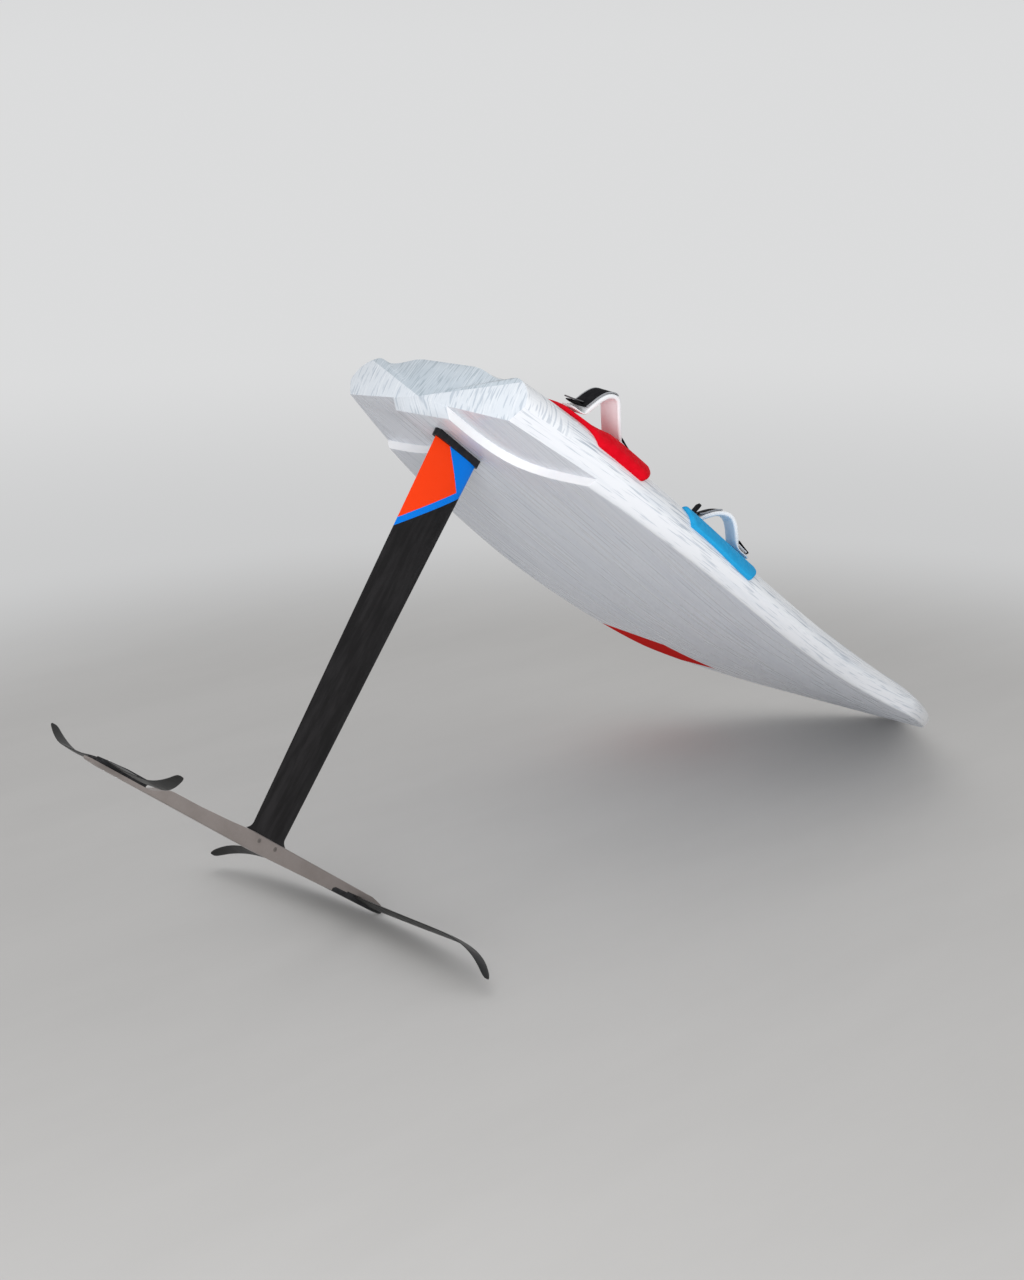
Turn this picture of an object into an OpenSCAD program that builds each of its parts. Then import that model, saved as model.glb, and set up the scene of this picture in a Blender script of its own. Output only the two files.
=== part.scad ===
// Windsurf foil board: a wide board with footstraps, its mast, fuselage and two wings.
// It rests nose down on the floor, on the front of the board and the front of the foil.
// Everything is laid out in the board's own frame and then turned into the rest pose:
// x runs to the nose, y to port, z out of the deck, and the origin is the centre of the
// mast on the bottom of the board.

/* [Board] */
// Length of the board
board_len = 2180; // [1800:1:2450]
// Greatest width of the board
board_w = 950; // [700:1:1100]
// Thickness of the board at the tail
board_t = 136; // [125:1:160]
// Centre of the mast to the tail edge
mast_back = 135; // [125:1:220]
// Rise of the bottom at the nose
nose_rise = 241; // [120:1:280]
// Share of the greatest width left at the tail
tail_share = 0.617; // [0.5:0.001:0.8]
// Depth of the two cutouts under the tail
cut_depth = 20.4; // [5:0.1:30]
// Length of the two cutouts
cut_len = 233; // [150:1:320]

/* [Mast] */
// Bottom of the board to the top of the fuselage
mast_len = 991; // [600:1:1050]
// Chord of the mast at the board
chord_top = 147; // [110:0.5:170]
// Chord of the mast above its foot
chord_low = 103; // [85:0.5:140]
// Greatest thickness of the mast
mast_t = 17; // [12:0.5:24]
// Thickness of the black flange under the board
flange_t = 17; // [6:0.5:25]
// Height of the tapered head inside the board
head_h = 92; // [60:1:105]

/* [Foil] */
// Length of the fuselage
fus_len = 948; // [700:1:1200]
// Height of the fuselage bar
fus_h = 40; // [32:0.5:60]
// Width of the fuselage bar
fus_w = 30; // [26:0.5:44]
// Share of the fuselage ahead of the mast centre
fus_ahead = 0.472; // [0.35:0.001:0.6]
// Span of the front wing
span_front = 992; // [600:1:1200]
// Chord of the front wing at its middle
chord_front = 95; // [80:1:150]
// Droop of the front wing tips
droop = 46; // [10:1:70]
// Span of the tail wing
span_tail = 468; // [300:1:560]
// Chord of the tail wing at its middle
chord_tail = 70; // [60:1:110]
// Rise of the tail wing tips
tip_rise = 30; // [10:1:60]

/* [Pads and straps] */
// Thickness of the deck pads
pad_t = 11; // [4:0.5:16]
// Strap span at its feet, inside the loop
strap_span = 123; // [100:1:160]
// Height of the strap loop above the pad
strap_rise = 76; // [66:1:100]
// Width of the strap band
strap_band = 66; // [45:1:80]
// Thickness of the padded band
strap_t = 13; // [9:0.5:16]
// Place of the rear straps, ahead of the mast centre
strap_rear_x = 116; // [105:1:135]
// Place of the front straps, ahead of the mast centre
strap_front_x = 582; // [520:1:640]

/* [Mast track] */
// Length of the track in the deck
track_len = 300; // [220:1:360]
// Width of the open slot in the track
track_slot = 10.4; // [9:0.1:14]
// Place of the middle of the track, ahead of the mast centre
track_x = 1000; // [850:1:1100]
// Place of the sliding nut along the track, from its middle
nut_at = 0; // [-110:1:110]

/* [Hidden] */
gap = 0.3;
half_w = board_w / 2;
x_tail = -mast_back;
x_nose = board_len - mast_back;
beak = 0.016 * board_len;              // how far the middle of the tail stands out

// ---- shape of the board -------------------------------------------------------
function sm(a, b, v) = let (s = min(1, max(0, (v - a) / (b - a)))) s * s * (3 - 2 * s);
function at_t(x) = min(1, max(0, (x + mast_back) / board_len));
function mixed(list, t, i = 0) = i >= len(list) - 2 || t <= list[i + 1][0]
  ? let (a = list[i], b = list[i + 1], s = min(1, max(0, (t - a[0]) / (b[0] - a[0]))))
    a[1] + (b[1] - a[1]) * s
  : mixed(list, t, i + 1);
// half width at the rail, at share t of the length
function rail_w(t) = t < 0.43 ? half_w * (1 - (1 - tail_share) * pow(1 - t / 0.43, 2))
  : t < 0.695 ? half_w
  : half_w * pow(max(0, 1 - pow((t - 0.695) / 0.305, 1.5)), 0.9);
function rocker(t) = let (s = max(0, t - 0.342) / 0.658) nose_rise * (0.756 + 0.244 * s) * s * s;
function thick(t) = board_t * mixed([[0, 1], [0.2, 1], [0.45, 0.96], [0.6, 0.89],
  [0.7, 0.79], [0.8, 0.65], [0.88, 0.51], [0.94, 0.39], [0.98, 0.29], [1, 0.22]], t);
function apex(t) = thick(t) * (0.42 - 0.18 * sm(0.02, 0.25, t));
function bevel(t) = let (b = 45 - 12 * sm(0, 0.2, t) - 25 * sm(0.52, 0.72, t))
  min(b, rail_w(t) * 0.5);
function boxy(t) = 5.6 - 2.7 * sm(0.05, 0.35, t);
// the scooped top edge of the tail: a hump in the middle between two dips
function scoop(t, u) = board_t * (1 - sm(0, 0.022, t)) *
  0.136 * (sm(0.3, 0.6, u) - sm(0.62, 0.82, u));
n_up = 10;
// half of a section, from the middle of the bottom, around the rail, to the middle of
// the deck; g grows the part above the rail
function half(t, g = 0) = let (w = rail_w(t), h = apex(t), top = thick(t), b = bevel(t),
    r = rocker(t), p = boxy(t))
  concat([for (s = [0, 0.4, 0.75]) [w - b + b * s, r + h * pow(s, 1.3 + 0.4 * sm(0, 0.2, t))]],
    [for (i = [0 : n_up]) let (f = 90 * i / n_up, u = pow(cos(f), 2 / p))
      [(w + g) * u, r + h + (top - h + g) * sin(f) - scoop(t, u)]]);
function ring(t, g = 0) = let (x = t * board_len - mast_back, hs = half(t, g), n = len(hs))
  concat([for (i = [0 : n - 1]) [x, -hs[i][0], hs[i][1]]],
    [for (i = [n - 2 : -1 : 0]) [x, hs[i][0], hs[i][1]]]);
// height of the deck at a place on it
function deck(x, y) = let (t = at_t(x), h = apex(t), u = min(1, abs(y) / rail_w(t)))
  rocker(t) + h + (thick(t) - h) * sqrt(max(0, 1 - pow(u, boxy(t))));

STATIONS = concat([0, 0.011, 0.022], [for (i = [1 : 15]) 0.022 + 0.0424 * i],
  [for (i = [0 : 13]) 0.7 + 0.2985 * sin(90 * i / 13)]);

// triangles across a ring of n points, whose opposite points face each other
function cap(n) = [for (k = [0 : floor(n / 2)]) each concat(
  k + 1 < n - 1 - k ? [[k, k + 1, n - 1 - k]] : [],
  k + 1 < n - 2 - k ? [[k + 1, n - 2 - k, n - 1 - k]] : [])];
// skin through a list of rings with equal counts; tip gives a point closing the first ring
module loft(rings, tip = undef) {
  n = len(rings[0]);
  m = len(rings);
  pts = concat([for (r = rings) for (p = r) p], tip == undef ? [] : [tip]);
  side = [for (i = [0 : m - 2]) for (j = [0 : n - 1]) let (k = (j + 1) % n,
      a = i * n + j, b = i * n + k, c = (i + 1) * n + k, d = (i + 1) * n + j)
    each [[a, b, c], [a, c, d]]];
  first = tip == undef ? [for (f = cap(n)) [f[2], f[1], f[0]]]
    : [for (j = [0 : n - 1]) [(j + 1) % n, j, m * n]];
  end = [for (f = cap(n)) [for (j = f) (m - 1) * n + j]];
  polyhedron(pts, concat(side, first, end), convexity = 4);
}

// plan of one cutout (starboard): the curved wall runs out to the rail
function wall(s) = [x_tail + cut_len * (1 - pow(1 - s, 2.6)),
  -(0.19 * half_w + 0.55 * half_w * pow(s, 2.4))];
module cutouts() for (m = [0, 1]) mirror([0, m, 0])
  translate([0, 0, -1]) linear_extrude(cut_depth + 1)
    polygon(concat([[x_tail - 2 * beak, -0.19 * half_w]],
      [for (i = [0 : 10]) wall(i / 10)],
      [[x_tail + cut_len, -half_w], [x_tail - 2 * beak, -half_w]]));

// ---- places on the deck -------------------------------------------------------
function strap_y(front) = front ? 0.65 * rail_w(at_t(strap_front_x))
  : 0.67 * rail_w(at_t(strap_rear_x));
function strap_x(front) = front ? strap_front_x : strap_rear_x;
function slope_y(x, y) = (deck(x, y + 28) - deck(x, y - 28)) / 56;
function slope_x(x, y) = (deck(x + 60, y) - deck(x - 60, y)) / 120;
// frame on the starboard pad under a strap: u runs along the strap, v across it
module at_strap(front) {
  toe = front ? 28 : 3;
  x = strap_x(front);
  y = -strap_y(front);
  translate([x, y, deck(x, y) + pad_t])
    rotate([atan(slope_y(x, y)), -atan(slope_x(x, y)), 0]) rotate([0, 0, -toe]) children();
}
module side(port) mirror([0, port ? 1 : 0, 0]) children();
foot_u = strap_span / 2 + strap_t + 14;   // screw place from the middle of the strap
foot_out = foot_u + 12;                   // end of the strap's foot

// the track lies along the deck line
tx0 = track_x - track_len / 2;
tx1 = track_x + track_len / 2;
track_tilt = atan2(deck(tx1, 0) - deck(tx0, 0), tx1 - tx0);
track_z = (deck(tx0, 0) + deck(tx1, 0)) / 2;
module at_track() translate([track_x, 0, track_z]) rotate([0, -track_tilt, 0]) children();
track_w = 34;
track_h = 30;

// ---- rest pose: one tilt that puts nose and foil on the floor ------------------
z_fus = -mast_len;                        // top of the fuselage
x_fn = fus_len * fus_ahead;               // nose of the fuselage
x_ft = x_fn - fus_len;                    // tail end of the fuselage
z_seat = z_fus - 0.77 * fus_h;            // seat of the tail wing
z_bot = z_fus - fus_h;
// side outline of the fuselage, from the tail end, under it, around the nose and back
fus_side = concat([[x_ft, z_seat - 4], [x_ft + 5, z_bot + 2], [x_ft + 40, z_bot],
   [x_fn - 0.47 * fus_len, z_bot], [x_fn - 0.2 * fus_len, z_bot + 0.2 * fus_h],
   [x_fn - 28, z_bot + 0.28 * fus_h], [x_fn - 10, z_bot + 0.33 * fus_h],
   [x_fn - 2, z_bot + 0.42 * fus_h]],
  [for (i = [0 : 9]) let (a = 10 * i) [x_fn - 165 + 165 * cos(a),
    z_bot + 0.55 * fus_h + 0.57 * fus_h * sin(a)]],
  [[x_fn - 0.36 * fus_len, z_fus], [x_ft + 0.5 * fus_len, z_fus],
   [x_ft + 0.42 * fus_len, z_fus - 0.14 * fus_h], [x_ft + 0.33 * fus_len, z_fus - 0.235 * fus_h],
   [x_ft + 0.242 * fus_len, z_fus - 0.26 * fus_h], [x_ft + 0.228 * fus_len, z_fus - 0.32 * fus_h],
   [x_ft + 0.195 * fus_len, z_seat + 4], [x_ft + 0.18 * fus_len, z_seat], [x_ft + 2, z_seat]]);
function wing_chord(c, s, tip, p) = c * (1 - (1 - tip) * pow(s, p));
function front_le(s) = x_fn - 24 - 85 * pow(s, 2.14);
function front_c(s) = wing_chord(chord_front, s, 0.29, 3.4);
function front_tk(s) = 13 * (1 - 0.66 * s);
function front_z(s) = z_bot + 0.51 * fus_h + 9 * s
  - (droop + 9) * pow(max(0, (s - 0.5) / 0.5), 3.8);
function tail_z(s) = z_seat + 8.5 - 6 * sm(0.05, 0.4, s) + 3.5 * s
  + (tip_rise + 3) * pow(max(0, (s - 0.62) / 0.38), 2);
tail_le0 = x_ft + 0.112 * fus_len;
function tail_le(s) = tail_le0 - 42 * pow(s, 3.2);
function tail_c(s) = wing_chord(chord_tail, s, 0.3, 2.8);
board_low = [for (i = [0 : 12]) let (t = STATIONS[len(STATIONS) - 1 - i])
  [t * board_len - mast_back, rocker(t)]];
foil_low = concat(fus_side, [for (s = [0 : 0.1 : 1]) for (q = [0, 0.06, 0.2])
  [front_le(s) - q * front_c(s), front_z(s) - 0.75 * foil_y(q, front_tk(s))]]);
function low(list, a) = min([for (p = list) p[1] * cos(a) - p[0] * sin(a)]);
function level(a, b, n) = n == 0 ? (a + b) / 2
  : let (m = (a + b) / 2) low(board_low, m) < low(foil_low, m) ? level(a, m, n - 1)
    : level(m, b, n - 1);
tilt = level(5, 70, 40);
floor_z = min(low(board_low, tilt), low(foil_low, tilt));
function across(p) = p[0] * cos(tilt) + p[1] * sin(tilt);
x_far = max([for (i = [0 : 6]) for (p = ring(STATIONS[len(STATIONS) - 1 - i]))
  across([p[0], p[2]])]);
x_near = min(concat([for (p = fus_side) across(p)],
  [across([tail_le(1) - tail_c(1), tail_z(1)])]));
module rest() translate([-(x_far + x_near) / 2, 0, -floor_z]) rotate([0, tilt, 0]) children();

// ---- board --------------------------------------------------------------------
box_l = 190;
box_w = 52;
box_top = deck(0, box_w / 2) - 1;
skin = 4;                                 // the board's skin under the box
module box_block(g = 0) translate([-box_l / 2 - g, -box_w / 2 - g, skin - g])
  cube([box_l + 2 * g, box_w + 2 * g, box_top - skin + 2 * g + (g > 0 ? 40 : 0)]);
module insert_body(g = 0) for (s = [-1, 1]) translate([s * foot_u, 0, -pad_t - 34])
  cylinder(h = 34 - 1.5 + (g > 0 ? 20 : 0), r = 8 + g, $fn = 32);
plug_x = 0.66 * board_len;
module plug_at() translate([plug_x, 0, deck(plug_x, 0)])
  rotate([0, -atan(slope_x(plug_x, 0)), 0]) children();

module board_hull() color("white") rest() difference() {
  loft([for (t = STATIONS) ring(t)], [x_tail - beak, 0, 0.206 * board_t]);
  cutouts();
  box_block(0.15);
  head_solid(gap);
  at_track() translate([-track_len / 2 - 0.2, -track_w / 2 - 0.2, -track_h - 0.2])
    cube([track_len + 0.4, track_w + 0.4, track_h + 20]);
  for (f = [false, true]) for (m = [false, true]) side(m) at_strap(f) insert_body(0.1);
  plug_at() translate([0, 0, -14.1]) cylinder(h = 30, r = 13.1, $fn = 48);
}

bolt_x = 55;                              // head bolts, fore and aft of the mast centre
head_top = head_h;
head_low = [0.5 * chord_top + 1, 0.5 * chord_top - 13];
function head_side(g) = [[-head_low[0] - g, -flange_t / 4], [head_low[0] + g, -flange_t / 4],
  [head_low[1] + g, head_top + g], [-head_low[1] - g, head_top + g]];
head_y = 11;                              // half width of the head
module head_solid(g = 0) rotate([90, 0, 0]) translate([0, 0, -(head_y + g)])
  linear_extrude(2 * (head_y + g)) polygon(head_side(g));

module foil_box() color("dimgray") rest() difference() {
  box_block();
  head_solid(gap);
  for (s = [-1, 1]) translate([s * bolt_x, 0, 0]) {
    cylinder(h = 200, r = 4.3, $fn = 32);
    translate([0, 0, box_top - 14]) cylinder(h = 40, r = 10.5, $fn = 48);
  }
}

module mast_track() color("dimgray") rest() at_track() difference() {
  translate([-track_len / 2, -track_w / 2, -track_h]) cube([track_len, track_w, track_h]);
  translate([-track_len / 2 + 9, -track_slot / 2, -22]) cube([track_len - 18, track_slot, 30]);
  translate([-track_len / 2 + 9, -10, -22]) cube([track_len - 18, 20, 12]);
}
module track_nut() color("silver") rest() at_track() translate([nut_at, 0, 0]) difference() {
  union() {
    translate([-20, -9.5, -21.6]) cube([40, 19, 9]);
    translate([-15, -track_slot / 2 + 0.5, -13]) cube([30, track_slot - 1, 8]);
  }
  translate([0, 0, -30]) cylinder(h = 40, r = 4, $fn = 48);
}
module vent_plug() color("gray") rest() plug_at() difference() {
  union() {
    translate([0, 0, -14]) cylinder(h = 14, r = 13, $fn = 48);
    translate([0, 0, -1]) cylinder(h = 2.5, r = 10, $fn = 48);
  }
  translate([-7, -1, 0]) cube([14, 2, 5]);
}

// ---- deck pads ----------------------------------------------------------------
// ends of a pad at the rail; the front pads lean forward towards the middle
function pad_x0(front) = strap_x(front) - (front ? 221 : 134);
function pad_x1(front) = strap_x(front) + (front ? 40 : 116);
pad_lean = 0.6;
function pad_in(front) = front ? 0.47 * half_w : 0.2 * half_w;
function lean(front) = front ? pad_lean * (rail_w(at_t(strap_front_x)) - pad_in(true)) : 0;
// how far the outer edge of a pad stays inside the rail, q mm ahead of its aft end; the
// rear pads step out to the rail after a deep hollow
function pad_back(front, q) = front ? 34 * pow(max(0, q - 205) / 56, 2)
  : 9 + 52 * (1 - pow(min(1, q / 76), 4)) + 48 * pow(max(0, q - 203) / 47, 2);
PAD_Q = [0, 25, 42, 54, 63, 69, 73, 76, 110, 145, 180, 205, 218, 230, 240, 250, 261];
module pad_plan(front) {
  c = 34;
  k = front ? pad_lean : 0;
  a = pad_x0(front) + lean(front);
  b = pad_x1(front) + lean(front);
  y = -pad_in(front);
  polygon(concat([[a - k * c, y - c], [a + 0.3 * c * (1 - k), y - 0.3 * c], [a + c, y],
      [b - c, y], [b - 0.3 * c * (1 + k), y - 0.3 * c], [b - k * c, y - c]],
    [for (i = [len(PAD_Q) - 1 : -1 : 0]) let (q = PAD_Q[i], x = pad_x0(front) + q)
      if (q <= pad_x1(front) - pad_x0(front)) [x, -(rail_w(at_t(x)) + (front ? 2 : 0)
        - pad_back(front, q))]]));
}
// lowest edge of a pad on the side of the rail
function pad_low(front, x) = rocker(at_t(x)) + apex(at_t(x)) + (front ? 24 - 16
  * sm(0, 1, (x - pad_x0(front) - 14) / 215) : 34);
module under(front) rotate([90, 0, 0]) translate([0, 0, -half_w - 50])
  linear_extrude(2 * half_w + 100) polygon(concat([[pad_x1(front) + 200, -50],
    [pad_x0(front) - 50, -50]], [for (i = [-1 : 10]) let (x = pad_x0(front) + 27 * i)
      [x, pad_low(front, x)]], [[pad_x1(front) + 200, pad_low(front, pad_x1(front))]]));
function pad_stations(front) = let (a = at_t(pad_x0(front)) - 0.004,
    b = at_t(pad_x1(front) + lean(front)) + 0.004)
  concat([a], [for (t = STATIONS) if (t > a + 0.002 && t < b - 0.002) t], [b]);
// the pad ends a little above the widest line of the rail
function edge(x, p, q) = [x, -0.6 * p[0] - 0.4 * q[0], 0.6 * p[1] + 0.4 * q[1]];
// strip between the deck and the deck grown by the pad thickness
function blanket(t, g0, g1) = let (x = t * board_len - mast_back, a = half(t, g1),
    b = half(t, g0), n = len(a))
  concat([edge(x, a[3], a[4])], [for (i = [4 : n - 1]) [x, -a[i][0], a[i][1]]],
    [for (i = [n - 1 : -1 : 4]) [x, -b[i][0], b[i][1]]], [edge(x, b[3], b[4])]);
module pad(front) intersection() {
  loft([for (t = pad_stations(front)) blanket(t, gap, pad_t)]);
  translate([0, 0, -50]) linear_extrude(400) pad_plan(front);
}
module pad_node(front, port) rest() side(port) difference() {
  pad(front);
  under(front);
  at_strap(front) for (s = [-1, 1]) translate([s * foot_u, 0, -40])
    cylinder(h = 60, r = 4, $fn = 32);
}
module pad_rear_stb() color("red") pad_node(false, false);
module pad_rear_port() color("red") pad_node(false, true);
module pad_front_stb() color("deepskyblue") pad_node(true, false);
module pad_front_port() color("deepskyblue") pad_node(true, true);

// ---- straps -------------------------------------------------------------------
lift = 4.5;                               // the strap's feet lie this high on the crown
// middle line of the padded band, in shares of its half span and of its rise: the loops
// lean a little, each its own way
REAR_LINE = [[-0.98, 0.02], [-0.9, 0.21], [-0.79, 0.45], [-0.68, 0.66], [-0.54, 0.84],
  [-0.4, 0.94], [-0.18, 1.01], [0.01, 0.95], [0.22, 0.74], [0.47, 0.51], [0.76, 0.25], [1, 0.03]];
FRONT_LINE = [[-1.02, 0.02], [-0.9, 0.235], [-0.71, 0.51], [-0.45, 0.81], [-0.17, 0.975],
  [0.1, 1.02], [0.38, 0.85], [0.69, 0.48], [0.98, 0.06]];
function span_of(front) = strap_span / 2 * (front ? 0.84 : 1) + strap_t / 2;
function rise_of(front) = strap_rise * (front ? 0.67 : 1) + strap_t / 2;
foot_t = 5.4;
function cut_corners(l) = concat([l[0]], [for (i = [0 : len(l) - 2])
  each [0.75 * l[i] + 0.25 * l[i + 1], 0.25 * l[i] + 0.75 * l[i + 1]]], [l[len(l) - 1]]);
function band_line(front) = let (a = span_of(front), h = rise_of(front), m = foot_t / 2,
    l = front ? FRONT_LINE : REAR_LINE)
  cut_corners(cut_corners(concat([[-foot_out, lift + m], [-a - 9, lift + m]],
    [for (p = l) [a * p[0], lift + m + 1.5 + (h - m - 1.5) * p[1]]],
    [[a + 9, lift + m], [foot_out, lift + m]])));
function half_t(p) = foot_t / 2 + (strap_t - foot_t) / 2 * sm(4, 22, p[1] - lift);
function side_of(l, i) = let (d = l[min(i + 1, len(l) - 1)] - l[max(i - 1, 0)])
  [-d[1], d[0]] / norm(d);
// the band between g0 and g1 above its middle line; from and to are places in the list
function strip(l, from, to, g0, g1) = concat(
  [for (i = [from : to]) l[i] + side_of(l, i) * (g1 + (g1 < 0 ? -1 : 1) * half_t(l[i]))],
  [for (i = [to : -1 : from]) l[i] + side_of(l, i) * (g0 + (g0 < 0 ? -1 : 1) * half_t(l[i]))]);
module strap_profile(front) let (l = band_line(front)) polygon(concat(
  [for (i = [0 : len(l) - 1]) l[i] + side_of(l, i) * half_t(l[i])],
  [for (i = [len(l) - 1 : -1 : 0]) l[i] - side_of(l, i) * half_t(l[i])]));
module strap_node(front, port) rest() side(port) at_strap(front) difference() {
  translate([0, strap_band / 2, 0]) rotate([90, 0, 0]) linear_extrude(strap_band)
    strap_profile(front);
  for (s = [-1, 1]) translate([s * foot_u, 0, -1]) cylinder(h = 20, r = 3.4, $fn = 32);
}
module strap_rear_stb() color("whitesmoke") strap_node(false, false);
module strap_rear_port() color("whitesmoke") strap_node(false, true);
module strap_front_stb() color("whitesmoke") strap_node(true, false);
module strap_front_port() color("whitesmoke") strap_node(true, true);

// the cover is a thin flap closed over the aft half of the loop
cover_t = 3;
module cover_profile(front) let (l = band_line(front), a = span_of(front), h = rise_of(front),
    on = [for (i = [0 : len(l) - 1]) if (l[i][0] < (front ? -0.3 : 0.1) * a
      && l[i][1] > lift + 0.22 * h) i])
  polygon(strip(l, on[0], on[len(on) - 1], 0.2, 0.2 + cover_t));
module cover_node(port, front) rest() side(port) at_strap(front)
  translate([0, strap_band / 2 - 6, 0]) rotate([90, 0, 0]) linear_extrude(strap_band - 12)
    cover_profile(front);
module cover_rear_stb() color("black") cover_node(false, false);
module cover_rear_port() color("black") cover_node(true, false);
module cover_front_stb() color("black") cover_node(false, true);
module cover_front_port() color("black") cover_node(true, true);

module insert_node(front, port) color("gray") rest() side(port) at_strap(front)
  difference() {
    insert_body();
    for (s = [-1, 1]) translate([s * foot_u, 0, -pad_t - 28]) cylinder(h = 60, r = 3.1, $fn = 32);
  }
module insert_rear_stb() insert_node(false, false);
module insert_rear_port() insert_node(false, true);
module insert_front_stb() insert_node(true, false);
module insert_front_port() insert_node(true, true);

module screw_node(front, port) color("silver") rest() side(port) at_strap(front)
  for (s = [-1, 1]) translate([s * foot_u, 0, 0]) difference() {
    union() {
      translate([0, 0, -pad_t - 24]) cylinder(h = pad_t + 24 + lift + 8, r = 3, $fn = 32);
      translate([0, 0, lift + 6.2]) cylinder(h = 1.6, r = 11, $fn = 48);
      translate([0, 0, lift + 7.5]) cylinder(h = 4, r = 6, $fn = 48);
    }
    translate([-0.8, -7, lift + 9.5]) cube([1.6, 14, 5]);
    translate([-7, -0.8, lift + 9.5]) cube([14, 1.6, 5]);
  }
module screw_rear_stb() screw_node(false, false);
module screw_rear_port() screw_node(false, true);
module screw_front_stb() screw_node(true, false);
module screw_front_port() screw_node(true, true);

// ---- mast ---------------------------------------------------------------------
barrel_z = 52;
flange_r = 0.5 * mast_t + 3;
module mast_head() color("#202124") rest() difference() {
  union() {
    head_solid();
    translate([0, 0, -flange_t]) linear_extrude(flange_t - gap) union() {
      square([chord_top + 13 - 2 * flange_r, 2 * flange_r], center = true);
      for (s = [-1, 1]) translate([s * (chord_top + 13 - 2 * flange_r) / 2, 0])
        circle(flange_r, $fn = 48);
    }
  }
  for (s = [-1, 1]) translate([s * bolt_x, 0, 0]) {
    translate([0, 0, barrel_z - 20]) cylinder(h = 100, r = 4.3, $fn = 32);
    translate([0, 30, barrel_z]) rotate([90, 0, 0]) cylinder(h = 60, r = 7, $fn = 48);
  }
}
module bolt(x, z0, z1, r, head_r, head_h, recess) translate([x, 0, 0]) difference() {
  union() {
    translate([0, 0, z0]) cylinder(h = z1 - z0 + 1, r = r, $fn = 32);
    translate([0, 0, z1]) cylinder(h = head_h, r = head_r, $fn = 48);
  }
  translate([0, 0, z1 + head_h - recess]) cylinder(h = 20, r = head_r * 0.55, $fn = 6);
}
module head_bolt(s) color("silver") rest()
  bolt(s * bolt_x, barrel_z - 12, box_top - 14, 4, 7.5, 8, 4);
module head_bolt_fore() head_bolt(1);
module head_bolt_aft() head_bolt(-1);
module barrel(s) color("goldenrod") rest() translate([s * bolt_x, 0, barrel_z]) difference() {
  translate([0, head_y - 0.2, 0]) rotate([90, 0, 0])
    cylinder(h = 2 * head_y - 0.4, r = 6.9, $fn = 48);
  translate([0, 0, -20]) cylinder(h = 40, r = 4.1, $fn = 32);
}
module barrel_fore() barrel(1);
module barrel_aft() barrel(-1);

// symmetric foil section of unit chord: shares along it and half thickness
n_foil = 11;
function foil_x(i) = (1 - cos(180 * i / n_foil)) / 2;
function foil_y(x, tk) = tk * (1.4845 * sqrt(x) - 0.63 * x - 1.758 * x * x
  + 1.4215 * pow(x, 3) - 0.5 * pow(x, 4)) + 0.6 * x;
// closed loop around a section: forward edge at share 0; up and dn scale the two faces
function foil(le, c, tk, up = 1, dn = 1) = concat(
  [for (i = [0 : n_foil]) let (s = foil_x(i)) [le - c * s, up * foil_y(s, tk)]],
  [for (i = [n_foil : -1 : 1]) let (s = foil_x(i)) [le - c * s, -dn * foil_y(s, tk)]]);
fore_x = 0.5 * chord_top + 2;
foot_h = 19;
function mast_ring(z) = let (s = min(1, max(0, (-z - flange_t) / (mast_len - flange_t - foot_h))),
    f = max(0, (-z - mast_len + foot_h) / foot_h), c = chord_top + (chord_low - chord_top) * s,
    add = 13 * pow(f, 2.5))
  [for (p = foil(fore_x + add, c + 2 * add, mast_t + 9 * pow(f, 2.5))) [p[0], p[1], z]];
MAST_Z = concat([for (i = [0 : 6]) -flange_t - (mast_len - flange_t - foot_h) * i / 6],
  [for (f = [0.25, 0.5, 0.75, 0.9, 1]) -mast_len + foot_h * (1 - f)]);
tenon_x0 = fore_x - chord_low + 10;
tenon_l = chord_low - 21;
tenon_d = 0.68 * fus_h;
module tenon(g) translate([tenon_x0 - g, -7 - g, z_fus - tenon_d - g])
  cube([tenon_l + 2 * g, 14 + 2 * g, tenon_d + g + (g > 0 ? 2 : 0)]);
foot_x = [tenon_x0 + 0.19 * tenon_l, tenon_x0 + 0.83 * tenon_l];
foot_z = z_fus - 0.33 * fus_h;
module mast() color("#18191b") rest() difference() {
  union() {
    loft([for (z = MAST_Z) mast_ring(z)]);
    tenon(0);
  }
  for (x = foot_x) translate([x, 30, foot_z]) rotate([90, 0, 0]) cylinder(h = 60, r = 3.2, $fn = 32);
}

// ---- fuselage -----------------------------------------------------------------
wx = [x_fn - 118, x_fn - 58];             // front wing screws
tw = [tail_le0 - 0.25 * chord_tail, tail_le0 - 0.75 * chord_tail];
root_l = 0.2 * fus_len;                   // root block of the front wing
module root_wedge(g) rotate([90, 0, 0]) translate([0, 0, -fus_w]) linear_extrude(2 * fus_w)
  polygon([[x_fn - root_l - g, z_bot - 5], [x_fn - root_l - g, z_bot + 0.36 * fus_h],
    [x_fn - root_l + 7, z_bot + 0.48 * fus_h + g], [x_fn - 100, z_bot + 0.56 * fus_h + g],
    [x_fn + 20, z_bot + 0.7 * fus_h + g], [x_fn + 20, z_bot - 5]]);
module fus_plan() polygon(concat([[x_ft, -fus_w * 0.36]],
  [[x_ft + 0.2 * fus_len, -fus_w / 2]],
  [for (i = [0 : 8]) let (a = 90 * i / 8) [x_fn - 140 + 140 * sin(a), -fus_w / 2 * cos(a) - 0.6]],
  [for (i = [8 : -1 : 0]) let (a = 90 * i / 8) [x_fn - 140 + 140 * sin(a), fus_w / 2 * cos(a) + 0.6]],
  [[x_ft + 0.2 * fus_len, fus_w / 2], [x_ft, fus_w * 0.36]]));
c_r = 5;
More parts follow.
